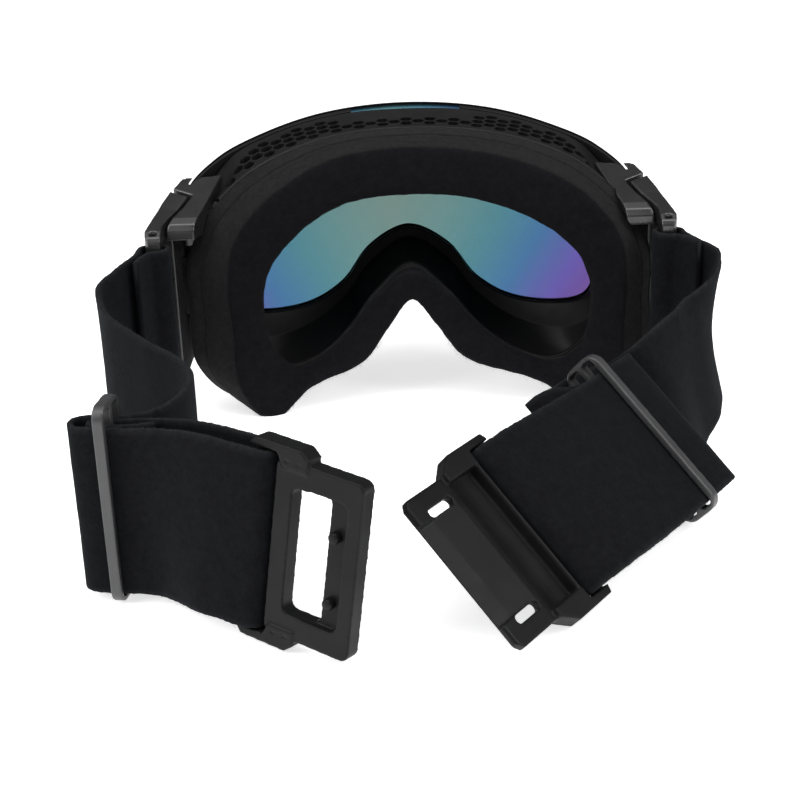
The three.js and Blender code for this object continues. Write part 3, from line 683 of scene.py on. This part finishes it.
def build_frame():
    u = np.arange(480) / 480

    def inner(v, inset):
        p = frame_outer(u, v)
        middle = between("opening", "baseInner", 0.5, u)
        towards = lift(middle, p[:, 1]) - p
        return p + unit(towards) * inset

    front_inner = inner(0, WALL)
    front_inner[:, 1] = on_lens(0.3, u, FRAME_FRONT + FLANGE)[:, 1]
    back_inner = inner(1, WALL)
    back_inner[:, 1] += 2
    corners = [on_lens(1, u, FRAME_FRONT)] + [frame_outer(u, v) for v in (0, 0.225, 0.45, 0.725, 1)]
    corners += [on_base(1, u), on_base(1, u, 2), back_inner, inner(0.45, WALL), front_inner]
    corners += [on_lens(1, u, FRAME_FRONT + FLANGE)]
    shell = ring("vented_frame", corners, [0.8, 1.3, 0, 3, 0, 1.2, 0.6, 0.6, 0.3, 1, 0.3, 0.8], 4)
    pockets = magnet_discs(FRAME_FRONT - 1.5, 1.5 + MAGNET_THICK + 0.4, MAGNET_POCKET)
    tools = [notch()] + pockets + vent_tools()
    cut_by(shell, tools)
    lugs = []
    for side in (1, -1):
        x, y = HINGE
        plan = [[76, y - 2.6], [x + 0.6, y - 2.6], [x + 2.4, y], [x + 0.6, y + 2.6], [76, y + 2.6]]
        lugs.append(prism([[side * px, py] for px, py in plan], LUG_LOW, LUG_HIGH))
    lug = merged("hinge_lugs", lugs)
    cut_by(lug, [cylinder((side * HINGE[0], HINGE[1], 48), (0, 0, 1), PIN_BORE, 30) for side in (1, -1)])
    bevel = lug.modifiers.new("edge", "BEVEL")
    bevel.width = 0.0004
    bevel.segments = 3
    apply_modifiers(lug)
    shell.data.shade_smooth()
    shell.data.set_sharp_from_angle(angle=math.radians(38))
    finish_piece(shell, "frame", "goggles", "frame", "face_frame")
    for side in (1, -1):
        build_shoulder(side)
    lug.data.shade_smooth()
    lug.data.set_sharp_from_angle(angle=math.radians(38))
    finish_piece(lug, "frame", "goggles", "frame")


# ---------------------------------------------------------------- foams
YZ = ((0, 1, 0), (0, 0, 1), (1, 0, 0))
SHOULDER = {
    "plan": [[66, -40], [79.6, -41.3], [82.5, -46.9], [75.2, -50.6], [78.2, -57], [81.6, -62.6],
             [83.4, -66.3], [74, -66.3], [70, -54]],
    "above": [[-38, 83.8], [-42, 82.2], [-50, 79], [-58, 75.7], [-62.5, 73.8], [-65, 72.2], [-66.2, 70],
              [-70, 69], [-70, 95], [-38, 95]],
    "below": [[-38, 50], [-38, 62], [-57, 62], [-58.5, 66.8], [-70, 66.8], [-70, 50]],
}


def across_width(profile):
    """Profile (y, z) drawn across the whole width."""
    return prism(profile, -95, 95, YZ)


def foam_room(u):
    """Body a little larger than the foam, which clears a path for it."""
    return ring_solid([on_base(-0.01, u, 0.1), on_base(1, u, 0.1), on_face(1, u, -6), on_face(-0.02, u, -6)])


def shade_moulded(obj):
    obj.data.shade_smooth()
    obj.data.set_sharp_from_angle(angle=math.radians(50))


def build_shoulder(side):
    """Shoulder of the frame beside the top of a strap arm."""
    u = np.arange(360) / 360
    body = prism([[side * x, y] for x, y in SHOULDER["plan"]], 60, 90)
    cutters = [across_width(SHOULDER["above"]), across_width(SHOULDER["below"])]
    cutters.append(ring_solid(lens_section(-0.05, 0.5, -4, 6.5, u)))
    name = "frame_shoulder_" + ("right" if side > 0 else "left")
    piece = moulded(name, [body], cutters, passes=5)
    cut_by(piece, [foam_room(u)])
    shade_moulded(piece)
    finish_piece(piece, "arm", "goggles", "frame")


def ripple(points, scale, amount, seed):
    """Small uneven swelling of a soft surface, along a direction given per point."""
    return np.array([amount * noise.noise(Vector(p) * scale + Vector((seed, seed * 2, 0))) for p in points])


def puff(obj, amount, scale, seed):
    mesh = obj.data
    count = len(mesh.vertices)
    normals = np.zeros(count * 3, np.float32)
    mesh.vertices.foreach_get("normal", normals)
    places = np.zeros(count * 3, np.float32)
    mesh.vertices.foreach_get("co", places)
    normals = normals.reshape(-1, 3)
    places = places.reshape(-1, 3)
    swell = ripple(places * 1000, scale, amount, seed)
    swell += ripple(places * 1000, scale * 4.3, amount * 0.45, seed + 9)
    places = places + normals * swell[:, None] / 1000
    mesh.vertices.foreach_set("co", places.ravel())
    mesh.update()


def build_foam():
    stations = 420
    u = np.arange(stations) / stations
    outer, inner = on_base(0.04, u, -GAP), on_base(0.96, u, -GAP)
    outer_back = 0.65 * outer + 0.35 * on_face(0.05, u, 2)
    inner_back = 0.65 * inner + 0.35 * on_face(0.97, u, 2)

    def spread(a, b, count):
        return [a + (b - a) * i / count for i in range(1, count)]

    corners = [outer] + spread(outer, inner, 6) + [inner] + spread(inner, inner_back, 4) + [inner_back] \
        + spread(inner_back, outer_back, 6) + [outer_back] + spread(outer_back, outer, 4)
    firm = ring("firm_foam", corners, 0, sharp=80)
    puff(firm, 0.12, 0.35, 3.0)
    finish_piece(firm, "side", "goggles", "face_foam", "foam_base")

    outer_front = outer_back - np.array([0, GAP * 0.3, 0])
    inner_front = inner_back - np.array([0, GAP * 0.3, 0])
    ridge = on_face(0, u, 2.2)
    bulge = unit(outer_front - on_face(0.6, u, 0)) * 0.35
    crown = [(0.05, 0.9), (0.13, 0.2), (0.25, -0.1), (0.4, -0.25), (0.55, -0.2), (0.7, 0.05), (0.84, 0.6),
             (0.94, 1.5), (1.0, 3.2)]  # across the face, and forward of it
    profile = [
        outer_front,
        0.66 * outer_front + 0.34 * ridge + bulge,
        0.3 * outer_front + 0.7 * ridge + bulge,
        ridge,
        *[on_face(t, u, forward) for t, forward in crown],
        0.5 * on_face(1, u, 3) + 0.5 * inner_front, inner_front,
        0.66 * inner_front + 0.34 * outer_front, 0.33 * inner_front + 0.67 * outer_front,
    ]
    # finer cross-section through the same points
    stacked = np.stack(profile, axis=1)
    count = stacked.shape[1]
    t = np.arange(count * 3) / (count * 3)
    fine = np.stack([catmull(stacked[i], t, True) for i in range(stations)])
    vertices = fine.reshape(-1, 3)
    vertices[:, 2] = np.maximum(vertices[:, 2], 0.0)
    points = fine.shape[1]
    faces = outward(vertices, grid_faces(stations, points, True, True))
    fleece = to_object("fleece_layer", vertices, faces, sharp=180)
    # side: 1 on the outer wall, falling to 0 on the face
    along = np.tile(np.arange(points) / 3.0, stations)
    side = np.where(along > 3.4, 0.0, np.where(along < 2.9, 1.0, (3.4 - along) / 0.5))
    attribute = fleece.data.attributes.new("side", "FLOAT", "POINT")
    attribute.data.foreach_set("value", side.astype(np.float32))
    puff(fleece, 0.28, 0.22, 7.0)
    for vertex in fleece.data.vertices:
        vertex.co.z = max(vertex.co.z, float(OFFSET[2]))
    finish_piece(fleece, "face", "goggles", "fleece", "foam_fleece")
    ridge_line = fine[:, 9]
    way = unit(ridge_line - on_face(0.5, u, 12))
    fibres("fleece_fibres", ridge_line, way, 5200, 0.9, "goggles", "fleece", 21, spread=1.6)

    stations = 120
    u = np.linspace(-0.118, 0.118, stations) % 1.0
    middle = between("opening", "baseInner", 0.5, u)
    section = [(0.22, 3.45), (0.4, 3.4), (0.6, 3.4), (0.83, 3.45), (0.83, 4.8), (0.6, 4.85), (0.4, 4.85),
               (0.22, 4.8)]
    sections = []
    for v, inward in section:
        p = frame_outer(u, v)
        sections.append(p + unit(lift(middle, p[:, 1]) - p) * inward)
    strip = sweep("vent_screen", np.stack(sections, axis=1), sharp=60)
    finish_piece(strip, "vent", "goggles", "vent_foam", "top_vent_foam")


FIBRE_WIDTH = 0.035


def fibres(name, line, direction, count, length, body, slot, seed, spread=0.5, closed=True, mat="fuzz"):
    """Loose fibre ends that stand off a fleecy edge: line (n, 3) and the way they point (n, 3)."""
    rng = np.random.default_rng(seed)
    n = len(line)
    at = rng.random(count) * (n if closed else n - 1)
    i = np.floor(at).astype(int)
    w = (at - i)[:, None]
    j = (i + 1) % n if closed else np.minimum(i + 1, n - 1)
    base = line[i % n] * (1 - w) + line[j] * w
    way = unit(direction[i % n] * (1 - w) + direction[j] * w)
    tangent = unit(line[j] - line[i % n])
    base = base + rng.normal(0, spread * 0.5, (count, 1)) * np.cross(tangent, way)
    lean = unit(way + rng.normal(0, 0.55, (count, 3)))
    size = (length * (0.35 + 0.65 * rng.random(count)))[:, None]
    across = unit(np.cross(lean, rng.normal(0, 1, (count, 3)))) * FIBRE_WIDTH
    bend = rng.normal(0, 0.22, (count, 3)) * size
    base = base - way * 0.15
    middle = base + lean * size * 0.55
    tip = base + lean * size + bend
    corners = [base - across, base + across, middle + across * 0.8, middle - across * 0.8, tip]
    vertices = np.stack(corners, axis=1).reshape(-1, 3)
    faces = []
    for k in range(count):
        f = 5 * k
        faces.append((f, f + 1, f + 2, f + 3))
        faces.append((f + 3, f + 2, f + 4))
    obj = to_object(name, vertices, faces, sharp=180)
    return finish_piece(obj, mat, body, slot)


# ---------------------------------------------------------------- strap arms
ARM = {
    "plan": [[83.4, -48.3], [85.6, -54], [89.2, -66], [90.2, -69.5], [90.1, -71.6], [89, -73.3],
             [84.8, -73.3], [84.5, -68.6], [84.4, -66], [82.6, -62.4], [79.6, -57], [77, -51.3]],
    "above": [[-40, 83], [-50, 79], [-58, 75.7], [-66, 72.9], [-70, 71.4], [-72.4, 69.8], [-73.6, 67.6],
              [-80, 66], [-80, 95], [-40, 95]],
    "below": [[-40, 5], [-40, 34], [-52, 24], [-60, 15], [-70, 10], [-80, 13], [-80, 5]],
}


def build_arm(side):
    def side_block(x0, x1, *rest):
        return cuboid(*sorted((side * x0, side * x1)), *rest)

    u = np.arange(360) / 360
    x, y = HINGE
    body = prism([[side * px, py] for px, py in ARM["plan"]], 12, 90)
    cutters = [
        across_width(ARM["above"]),
        across_width(ARM["below"]),
        side_block(80, 95, -68.6, -61.5, 14.8, 67.2),  # slot for the webbing
        side_block(70, x + 5, y - 3.4, -40, LUG_LOW - GAP, LUG_HIGH + GAP),  # room for the hinge lug
        cylinder((side * x, y, 48.5), (0, 0, 1), PIN_BORE, 49),
        side_block(86.2, 88.4, -71.6, -69.9, 66.4, 72),  # small notch in the top edge beside the slot
    ]
    outer = [frame_outer(u, v) for v in (-0.05, 0.45, 1.04)]
    clear = [
        p + np.column_stack([np.sign(p[:, 0]) * 2 * GAP, np.zeros(len(p)), np.zeros(len(p))])
        for p in [*outer, on_base(0.6, u, -0.5), on_lens(0.8, u, 0)]
    ]
    label = "right" if side > 0 else "left"
    arm = moulded("outrigger_" + label, [body], cutters, passes=5)
    cut_by(arm, [ring_solid(clear)])
    cut_by(arm, [foam_room(u)])
    shade_moulded(arm)
    return finish_piece(arm, "arm", "half_" + label, "arm", "strap_arm_" + label)


# ---------------------------------------------------------------- strap halves
def placed(origin, along, lean):
    u = unit(along)
    w = unit(lean)
    w = unit(w - u * w.dot(u))
    return np.array(origin, float), u, w


def point_in(place, sign, a, n, h=0.0):
    o, u, w = place
    return o + u * a + np.cross(u, w) * sign * n + w * h


RIGHT_LEAN = [-0.603, 0.43, 0.672]
RIGHT_ALONG = [-0.61, -0.792, -0.041]
HALF = {
    "left": {
        "side": -1, "sign": 1, "fold": -6,
        "slider": placed([-84.9, -193.5, 30.2], [0.985, -0.17, 0], [-0.03, 0, 1]),
        "bar": placed([-44.4, -216.2, 29.2], [0.817, -0.571, -0.081], [0.135, 0.054, 0.989]),
        "tail": [[-91.6, -86.5], [-90.1, -80.5], [-88, -76]],
        "run": [[-93, -79.5, 41, 0, 0], [-96.8, -88, 39.5, 0, 0], [-101, -100, 37.5, 0, 0],
                [-97, -117, 34, 0, 0], [-84, -134, 31, 0, 0], [-70.5, -149, 29, 0, 0], [-66, -160, 28, 0, 0],
                [-67.5, -174, 28, 0, 0], [-73, -185, 28, 0, 0]],
        "entry": [[3, -4.5, 0], [-3, -4.2, 0]],
    },
    "right": {
        "side": 1, "sign": -1, "fold": -15,
        "slider": placed([66.3, -152, 24.7], RIGHT_ALONG, RIGHT_LEAN),
        "bar": placed([30.1, -199, 22.2], RIGHT_ALONG, RIGHT_LEAN),
        "tail": [[95.4, -84], [92.6, -79.2], [89.2, -75.9]],
        "run": [[94.2, -77.5, 40.6, 0, 0], [97.2, -81.5, 39, -0.02, 0], [99, -89, 35.5, -0.08, 0],
                [96.3, -97.5, 31, -0.14, 0], [89.5, -108, 27, -0.2, 0], [80.5, -125, 23.6, -0.46, 0.08]],
        "entry": [[-21, -8.8, 2.5], [-13, -9.6, 5], [-4, -9.3, 6], [12, -8.8, 6], [20, -8.4, 6],
                  [22.6, -6.4, 6], [20, -4.5, 6], [10, -4.3, 3], [-1, -4.2, 0]],
    },
}
ARM_LOOP = [[85.8, -75.1], [83.6, -73.6], [82.9, -71], [83.2, -68.6], [84.8, -67.2], [87.4, -67],
            [90.6, -67.2], [92.1, -69], [92.4, -73]]
ARM_WEB_HEIGHT = 41.0
WEB_SHIFT = -2.0  # offset of the webbing along the slider's slots


def webbing_path(half):
    slider, bar, sign = half["slider"], half["bar"], half["sign"]
    points, ways = [], []

    def add(p, w):
        points.append(np.asarray(p, float))
        ways.append(unit(w))

    def at_slider(a, n, h=0.0):
        add(point_in(slider, sign, a, n, h + WEB_SHIFT), slider[2])

    def turn(place, centre, radius, start, end, steps, shift=0.0):
        for i in range(steps + 1):
            angle = math.radians(start + (end - start) * i / steps)
            along, out = radius * math.cos(angle), radius * math.sin(angle)
            add(point_in(place, sign, centre + along, out, shift), place[2])

    for x, y in half["tail"]:
        add((x, y, ARM_WEB_HEIGHT), (0, 0, 1))
    for x, y in ARM_LOOP:
        add((half["side"] * x, y, ARM_WEB_HEIGHT), (0, 0, 1))
    for x, y, z, lean_x, lean_y in half["run"]:
        add((x, y, z), (lean_x, lean_y, 1))
    for a, n, h in half["entry"]:
        at_slider(a, n, h)
    turn(slider, half["fold"], LAYER, 270, 90, 5, WEB_SHIFT)
    for a in (0, 10):
        at_slider(a, LAYER)
    add(point_in(bar, sign, -14, LAYER + 1, -0.5), bar[2])
    turn(bar, 0, LAYER, 90, -90, 6)
    add(point_in(bar, sign, -14, -LAYER, -0.5), bar[2])
    core = LAYER / 2
    at_slider(14, -3.4)
    for a in (3, -1):
        at_slider(a, -core)
    turn(slider, -3, core, 270, 90, 4, WEB_SHIFT)
    for a, n in ((2, core), (7, 1.2), (13, -0.9)):
        at_slider(a, n)
    return np.array(points), np.array(ways)


STITCH = 1.15  # half the length of one wave of the webbing's edge


def build_webbing(label):
    half = HALF[label]
    points, ways = webbing_path(half)
    per_span = 12
    count = (len(points) - 1) * per_span
    t = np.arange(count + 1) / count
    line = catmull(points, t, False)
    smooth_ways = unit(catmull(ways, t, False))
    travelled = np.concatenate([[0], np.cumsum(np.linalg.norm(np.diff(line, axis=0), axis=1))])
    length = float(travelled[-1])
    even = np.linspace(0, length, int(length / 1.1))
    line = np.column_stack([np.interp(even, travelled, line[:, k]) for k in range(3)])
    smooth_ways = unit(np.column_stack([np.interp(even, travelled, smooth_ways[:, k]) for k in range(3)]))
    tangent = unit(np.gradient(line, axis=0))
    across = unit(smooth_ways - tangent * (smooth_ways * tangent).sum(1)[:, None])
    normal = np.cross(tangent, across)
    # cross-section: both faces and the two rounded edges
    widths = np.linspace(-1, 1, 33)
    half_width = WEB_WIDTH / 2
    half_thick = WEB_THICK / 2 * 0.92
    rounded_edge = [(half_width - 0.15, half_thick * 0.62), (half_width, 0.0),
                    (half_width - 0.15, -half_thick * 0.62)]
    shape = [(a * (half_width - 0.55), half_thick, 0.0) for a in widths]
    shape += [(a, b, 1.0) for a, b in rounded_edge]
    shape += [(a * (half_width - 0.55), -half_thick, 0.0) for a in widths[::-1]]
    shape += [(-a, -b, 1.0) for a, b in rounded_edge]
    shape = np.array(shape)
    rng = np.random.default_rng(5 if label == "left" else 6)
    stitch = np.sin(even / STITCH * math.pi) * 0.07
    stitch += np.convolve(rng.normal(0, 0.12, len(even)), np.ones(3) / 3, "same")
    sections = np.empty((len(even), len(shape), 3))
    for k, (a, b, is_edge) in enumerate(shape):
        grow = 1.0 if is_edge else max(0.0, (abs(a) - half_width + 2.2) / 2.2)
        ragged = stitch * np.sign(a) * grow
        sections[:, k] = line + across * (a + ragged)[:, None] + normal * b
    nap = ripple(sections.reshape(-1, 3), 0.45, 0.05, 1.0) + ripple(sections.reshape(-1, 3), 0.12, 0.1, 4.0)
    sections += (nap.reshape(len(even), len(shape), 1)) * normal[:, None, :]
    web = sweep("webbing_" + label, sections, sharp=180)
    close = np.clip((np.abs(shape[:, 0]) - (half_width - 1.0)) / 0.8, 0, 1)
    edge = np.tile(close, len(even)) * (0.55 + 0.45 * np.repeat(rng.random(len(even)), len(shape)))
    attribute = web.data.attributes.new("edge", "FLOAT", "POINT")
    attribute.data.foreach_set("value", edge.astype(np.float32))
    finish_piece(web, "web", "half_" + label, "webbing", "strap_" + label)
    for sign in (1, -1):
        rim = line + across * sign * (half_width - 0.1)
        name = f"webbing_{label}_fibres_" + ("upper" if sign > 0 else "lower")
        fibres(name, rim, across * sign, 2600, 0.75, "half_" + label, "webbing", 40 + sign,
                           spread=WEB_THICK * 0.7, closed=False)
    return length


# ---------------------------------------------------------------- sliders and clips
def axes_of(half, which):
    o, u, w = half[which]
    return (u, w, np.cross(u, w) * half["sign"]), o


def build_slider(label):
    (u, w, n), origin = axes_of(HALF[label], "slider")
    axes = (n, w, -u)
    outline_points = round_rectangle(-7.4, 7.4, -29.5, 29.5, 4.5, 8)
    slots = [round_rectangle(1, 5.4, -27.85, 27.85, 1.2, 4), round_rectangle(-5.4, -1, -27.85, 27.85, 1.2, 4)]
    cutters = [prism(points, -4, 4, axes, origin) for points in slots]
    body = prism(outline_points, -1.6, 1.6, axes, origin)
    piece = moulded("ladder_slider_" + label, [body], cutters)
    return finish_piece(piece, "slider", "slider_" + label[0], "buckle", "slider_" + label)


CLIP_BAR = 2.0  # radius of the bar that the webbing goes round
# radius and height of a peg
PEG_PROFILE = [(1.6, 0.2), (1.6, 2.0), (1.45, 2.35), (1.1, 2.55), (0.0, 2.6)]


def build_window_clip():
    axes, origin = axes_of(HALF["left"], "bar")

    def block(outline_points, c0, c1):
        return prism(outline_points, c0, c1, axes, origin)

    body = block(round_rectangle(6, 33.2, -24.5, 24.5, 2.5), -2.5, 2.5)
    wings = []
    for s in (1, -1):
        plan = [[-3, 25.5], [-1, 28], [13.5, 28], [16, 26], [16, 22], [8, 22], [6, 25.5]]
        wings.append(block([[a, s * h] for a, h in plan], -3, 3))
    u, w, n = axes
    bar = cylinder(origin, w, CLIP_BAR, 53)
    hole = block(round_rectangle(11.4, 22.6, -17.5, 17.5, 2.2), -5, 5)
    recess = block(round_rectangle(15, 28.8, -17.8, 17.8, 2.6), 0.4, 5)
    grooves = []
    for s in (1, -1):
        plan = [[7.6, s * 24.2], [15.6, s * 24.2], [15.6, s * 23.7], [7.6, s * 23.7]]
        grooves.append(block(plan, 2.1, 5))
    clip = moulded("window_clip", [body, bar] + wings, [hole, recess] + grooves, passes=6)
    finish_piece(clip, "buckle", "clip_l", "buckle", "clip_window_left")
    pegs = []
    for s in (1, -1):
        centre = np.array(origin) + u * 25.2 + w * (s * 9.2 - 1.5)
        sides = 28
        vertices = [centre + u * a + w * b + n * c for r, c in PEG_PROFILE[:-1] for a, b in polygon(r, sides)]
        vertices.append(centre + n * PEG_PROFILE[-1][1])
        vertices.append(centre + n * PEG_PROFILE[0][1])
        faces = grid_faces(len(PEG_PROFILE) - 1, sides, False, True)
        top, bottom = len(vertices) - 2, len(vertices) - 1
        last = (len(PEG_PROFILE) - 2) * sides
        for k in range(sides):
            j = (k + 1) % sides
            faces.append((last + k, last + j, top))
            faces.append((j, k, bottom))
        pegs.append((vertices, outward(vertices, faces)))
    peg = merged("clip_pegs", pegs)
    peg.data.shade_smooth()
    peg.data.set_sharp_from_angle(angle=math.radians(50))
    finish_piece(peg, "buckle", "clip_l", "buckle")


def build_plate_clip():
    axes, origin = axes_of(HALF["right"], "bar")
    u, w, n = axes
    # side profile (along, face): cross bar, sunken channel, then the plate
    profile = [[6.4, -3.6], [12.6, -3.6], [15, -3], [17.2, -1.9], [19.5, -1.4], [21.5, -1.3], [36.6, -1.3],
               [37.3, -0.7], [37.3, 0.8], [36.7, 1.3], [21.0, 1.3], [19.4, 1.05], [17.8, 0.3], [16.2, -0.6],
               [14.4, -1.2], [12.4, -1.4], [6.4, -1.4]]
    body = prism(profile, -24, 24, (u, n, w), origin)
    wings = []
    for s in (1, -1):
        plan = [[-3, 25.5], [-2, 28], [14, 28], [19.5, 24], [19.5, 21.5], [5.8, 21.5], [5.8, 25.5]]
        wings.append(prism([[a, s * h] for a, h in plan], -2.6, 2.6, axes, origin))
    bar = cylinder(origin, w, CLIP_BAR, 53)
    cross = prism(round_rectangle(5.8, 7.3, -3.4, 2.5, 0.7, 4), -23.5, 23.5, (u, n, w), origin)
    slots, corners = [], []
    for s in (1, -1):
        outline_points = round_rectangle(21.8, 31.8, s * 17.6 - 1.3, s * 17.6 + 1.3, 1.2, 5)
        slots.append(prism(outline_points, -6, 6, axes, origin))
        corners.append(prism([[38, s * 21], [38, s * 26], [33.5, s * 26]], -6, 6, axes, origin))
    slope = [[21.0, 1.32], [31.6, 0.35], [37.6, -0.75], [37.6, 6], [21.0, 6]]
    shallow = prism(slope, -16.2, 16.2, (u, n, w), origin)
    clip = moulded("plate_clip", [body, bar, cross] + wings, slots + corners + [shallow], passes=5)
    finish_piece(clip, "buckle", "clip_r", "buckle", "clip_plate_right")


# ---------------------------------------------------------------- build
build_lens()
build_frame()
build_foam()
for side in (-1, 1):
    build_arm(side)
lengths = {label: build_webbing(label) for label in ("left", "right")}
for label in ("left", "right"):
    build_slider(label)
build_window_clip()
build_plate_clip()

for name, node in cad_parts.items():
    key = "magnet" if "magnet" in name else "steel" if name.startswith("arm_pin") else None
    if key:
        node.data.materials.clear()
        node.data.materials.append(MAT[key])

# ---------------------------------------------------------------- floor, light and camera
floor_mesh = bpy.data.meshes.new("floor")
floor_mesh.from_pydata([(-100, -100, 0), (100, -100, 0), (100, 100, 0), (-100, 100, 0)], [], [(0, 1, 2, 3)])
floor = bpy.data.objects.new("floor", floor_mesh)
bpy.context.scene.collection.objects.link(floor)
floor_material, floor_tree, floor_shader = material("floor_white")
floor_shader.inputs["Base Color"].default_value = (0.92, 0.92, 0.92, 1)
floor_shader.inputs["Roughness"].default_value = 1.0
floor_shader.inputs["Specular IOR Level"].default_value = 0.0
floor_shader.inputs["Emission Color"].default_value = (1, 1, 1, 1)
floor_shader.inputs["Emission Strength"].default_value = 0.7
floor_mesh.materials.append(floor_material)

world = bpy.data.worlds.new("studio")
world.use_nodes = True
world.node_tree.nodes["Background"].inputs["Color"].default_value = (1, 1, 1, 1)
world.node_tree.nodes["Background"].inputs["Strength"].default_value = 0.15
bpy.context.scene.world = world

sun = bpy.data.lights.new("overhead", "SUN")
sun.energy = 0.75
sun.angle = math.radians(70)
overhead = bpy.data.objects.new("overhead", sun)
overhead.rotation_euler = (math.radians(14), math.radians(-10), 0)
bpy.context.scene.collection.objects.link(overhead)


def area(name, place, target, size, energy):
    lamp = bpy.data.lights.new(name, "AREA")
    lamp.shape = "RECTANGLE"
    lamp.size, lamp.size_y = size
    lamp.energy = energy
    obj = bpy.data.objects.new(name, lamp)
    obj.location = place
    obj.rotation_euler = (Vector(target) - Vector(place)).to_track_quat("-Z", "Y").to_euler()
    bpy.context.scene.collection.objects.link(obj)


area("left_box", (-0.75, -0.35, 0.55), (0, 0, 0.05), (0.5, 0.4), 3.5)
area("top_box", (0, -0.3, 0.95), (0, 0, 0.05), (1.4, 0.35), 5.0)
area("right_box", (0.75, -0.3, 0.6), (0, 0, 0.05), (0.5, 0.4), 3.5)

yaw, pitch, roll = (math.radians(a) for a in (0.16, 21.85, 1.95))
forward = Vector((math.sin(yaw) * math.cos(pitch), math.cos(yaw) * math.cos(pitch), -math.sin(pitch)))
right = Vector((math.cos(yaw), -math.sin(yaw), 0))
down = forward.cross(right)
right_rolled = right * math.cos(roll) + down * math.sin(roll)
down_rolled = down * math.cos(roll) - right * math.sin(roll)
camera_data = bpy.data.cameras.new("camera")
camera_data.sensor_width = 36
camera_data.lens = 36 * 1548.28 / 800
camera = bpy.data.objects.new("camera", camera_data)
rotation = Matrix((right_rolled, -down_rolled, -forward)).transposed()
place = Vector((np.array([-7.06, -578.65, 210.84]) / 1000 + OFFSET).tolist())
camera.matrix_world = Matrix.Translation(place) @ rotation.to_4x4()
bpy.context.scene.collection.objects.link(camera)
bpy.context.scene.camera = camera
bpy.context.scene.view_settings.view_transform = "Standard"
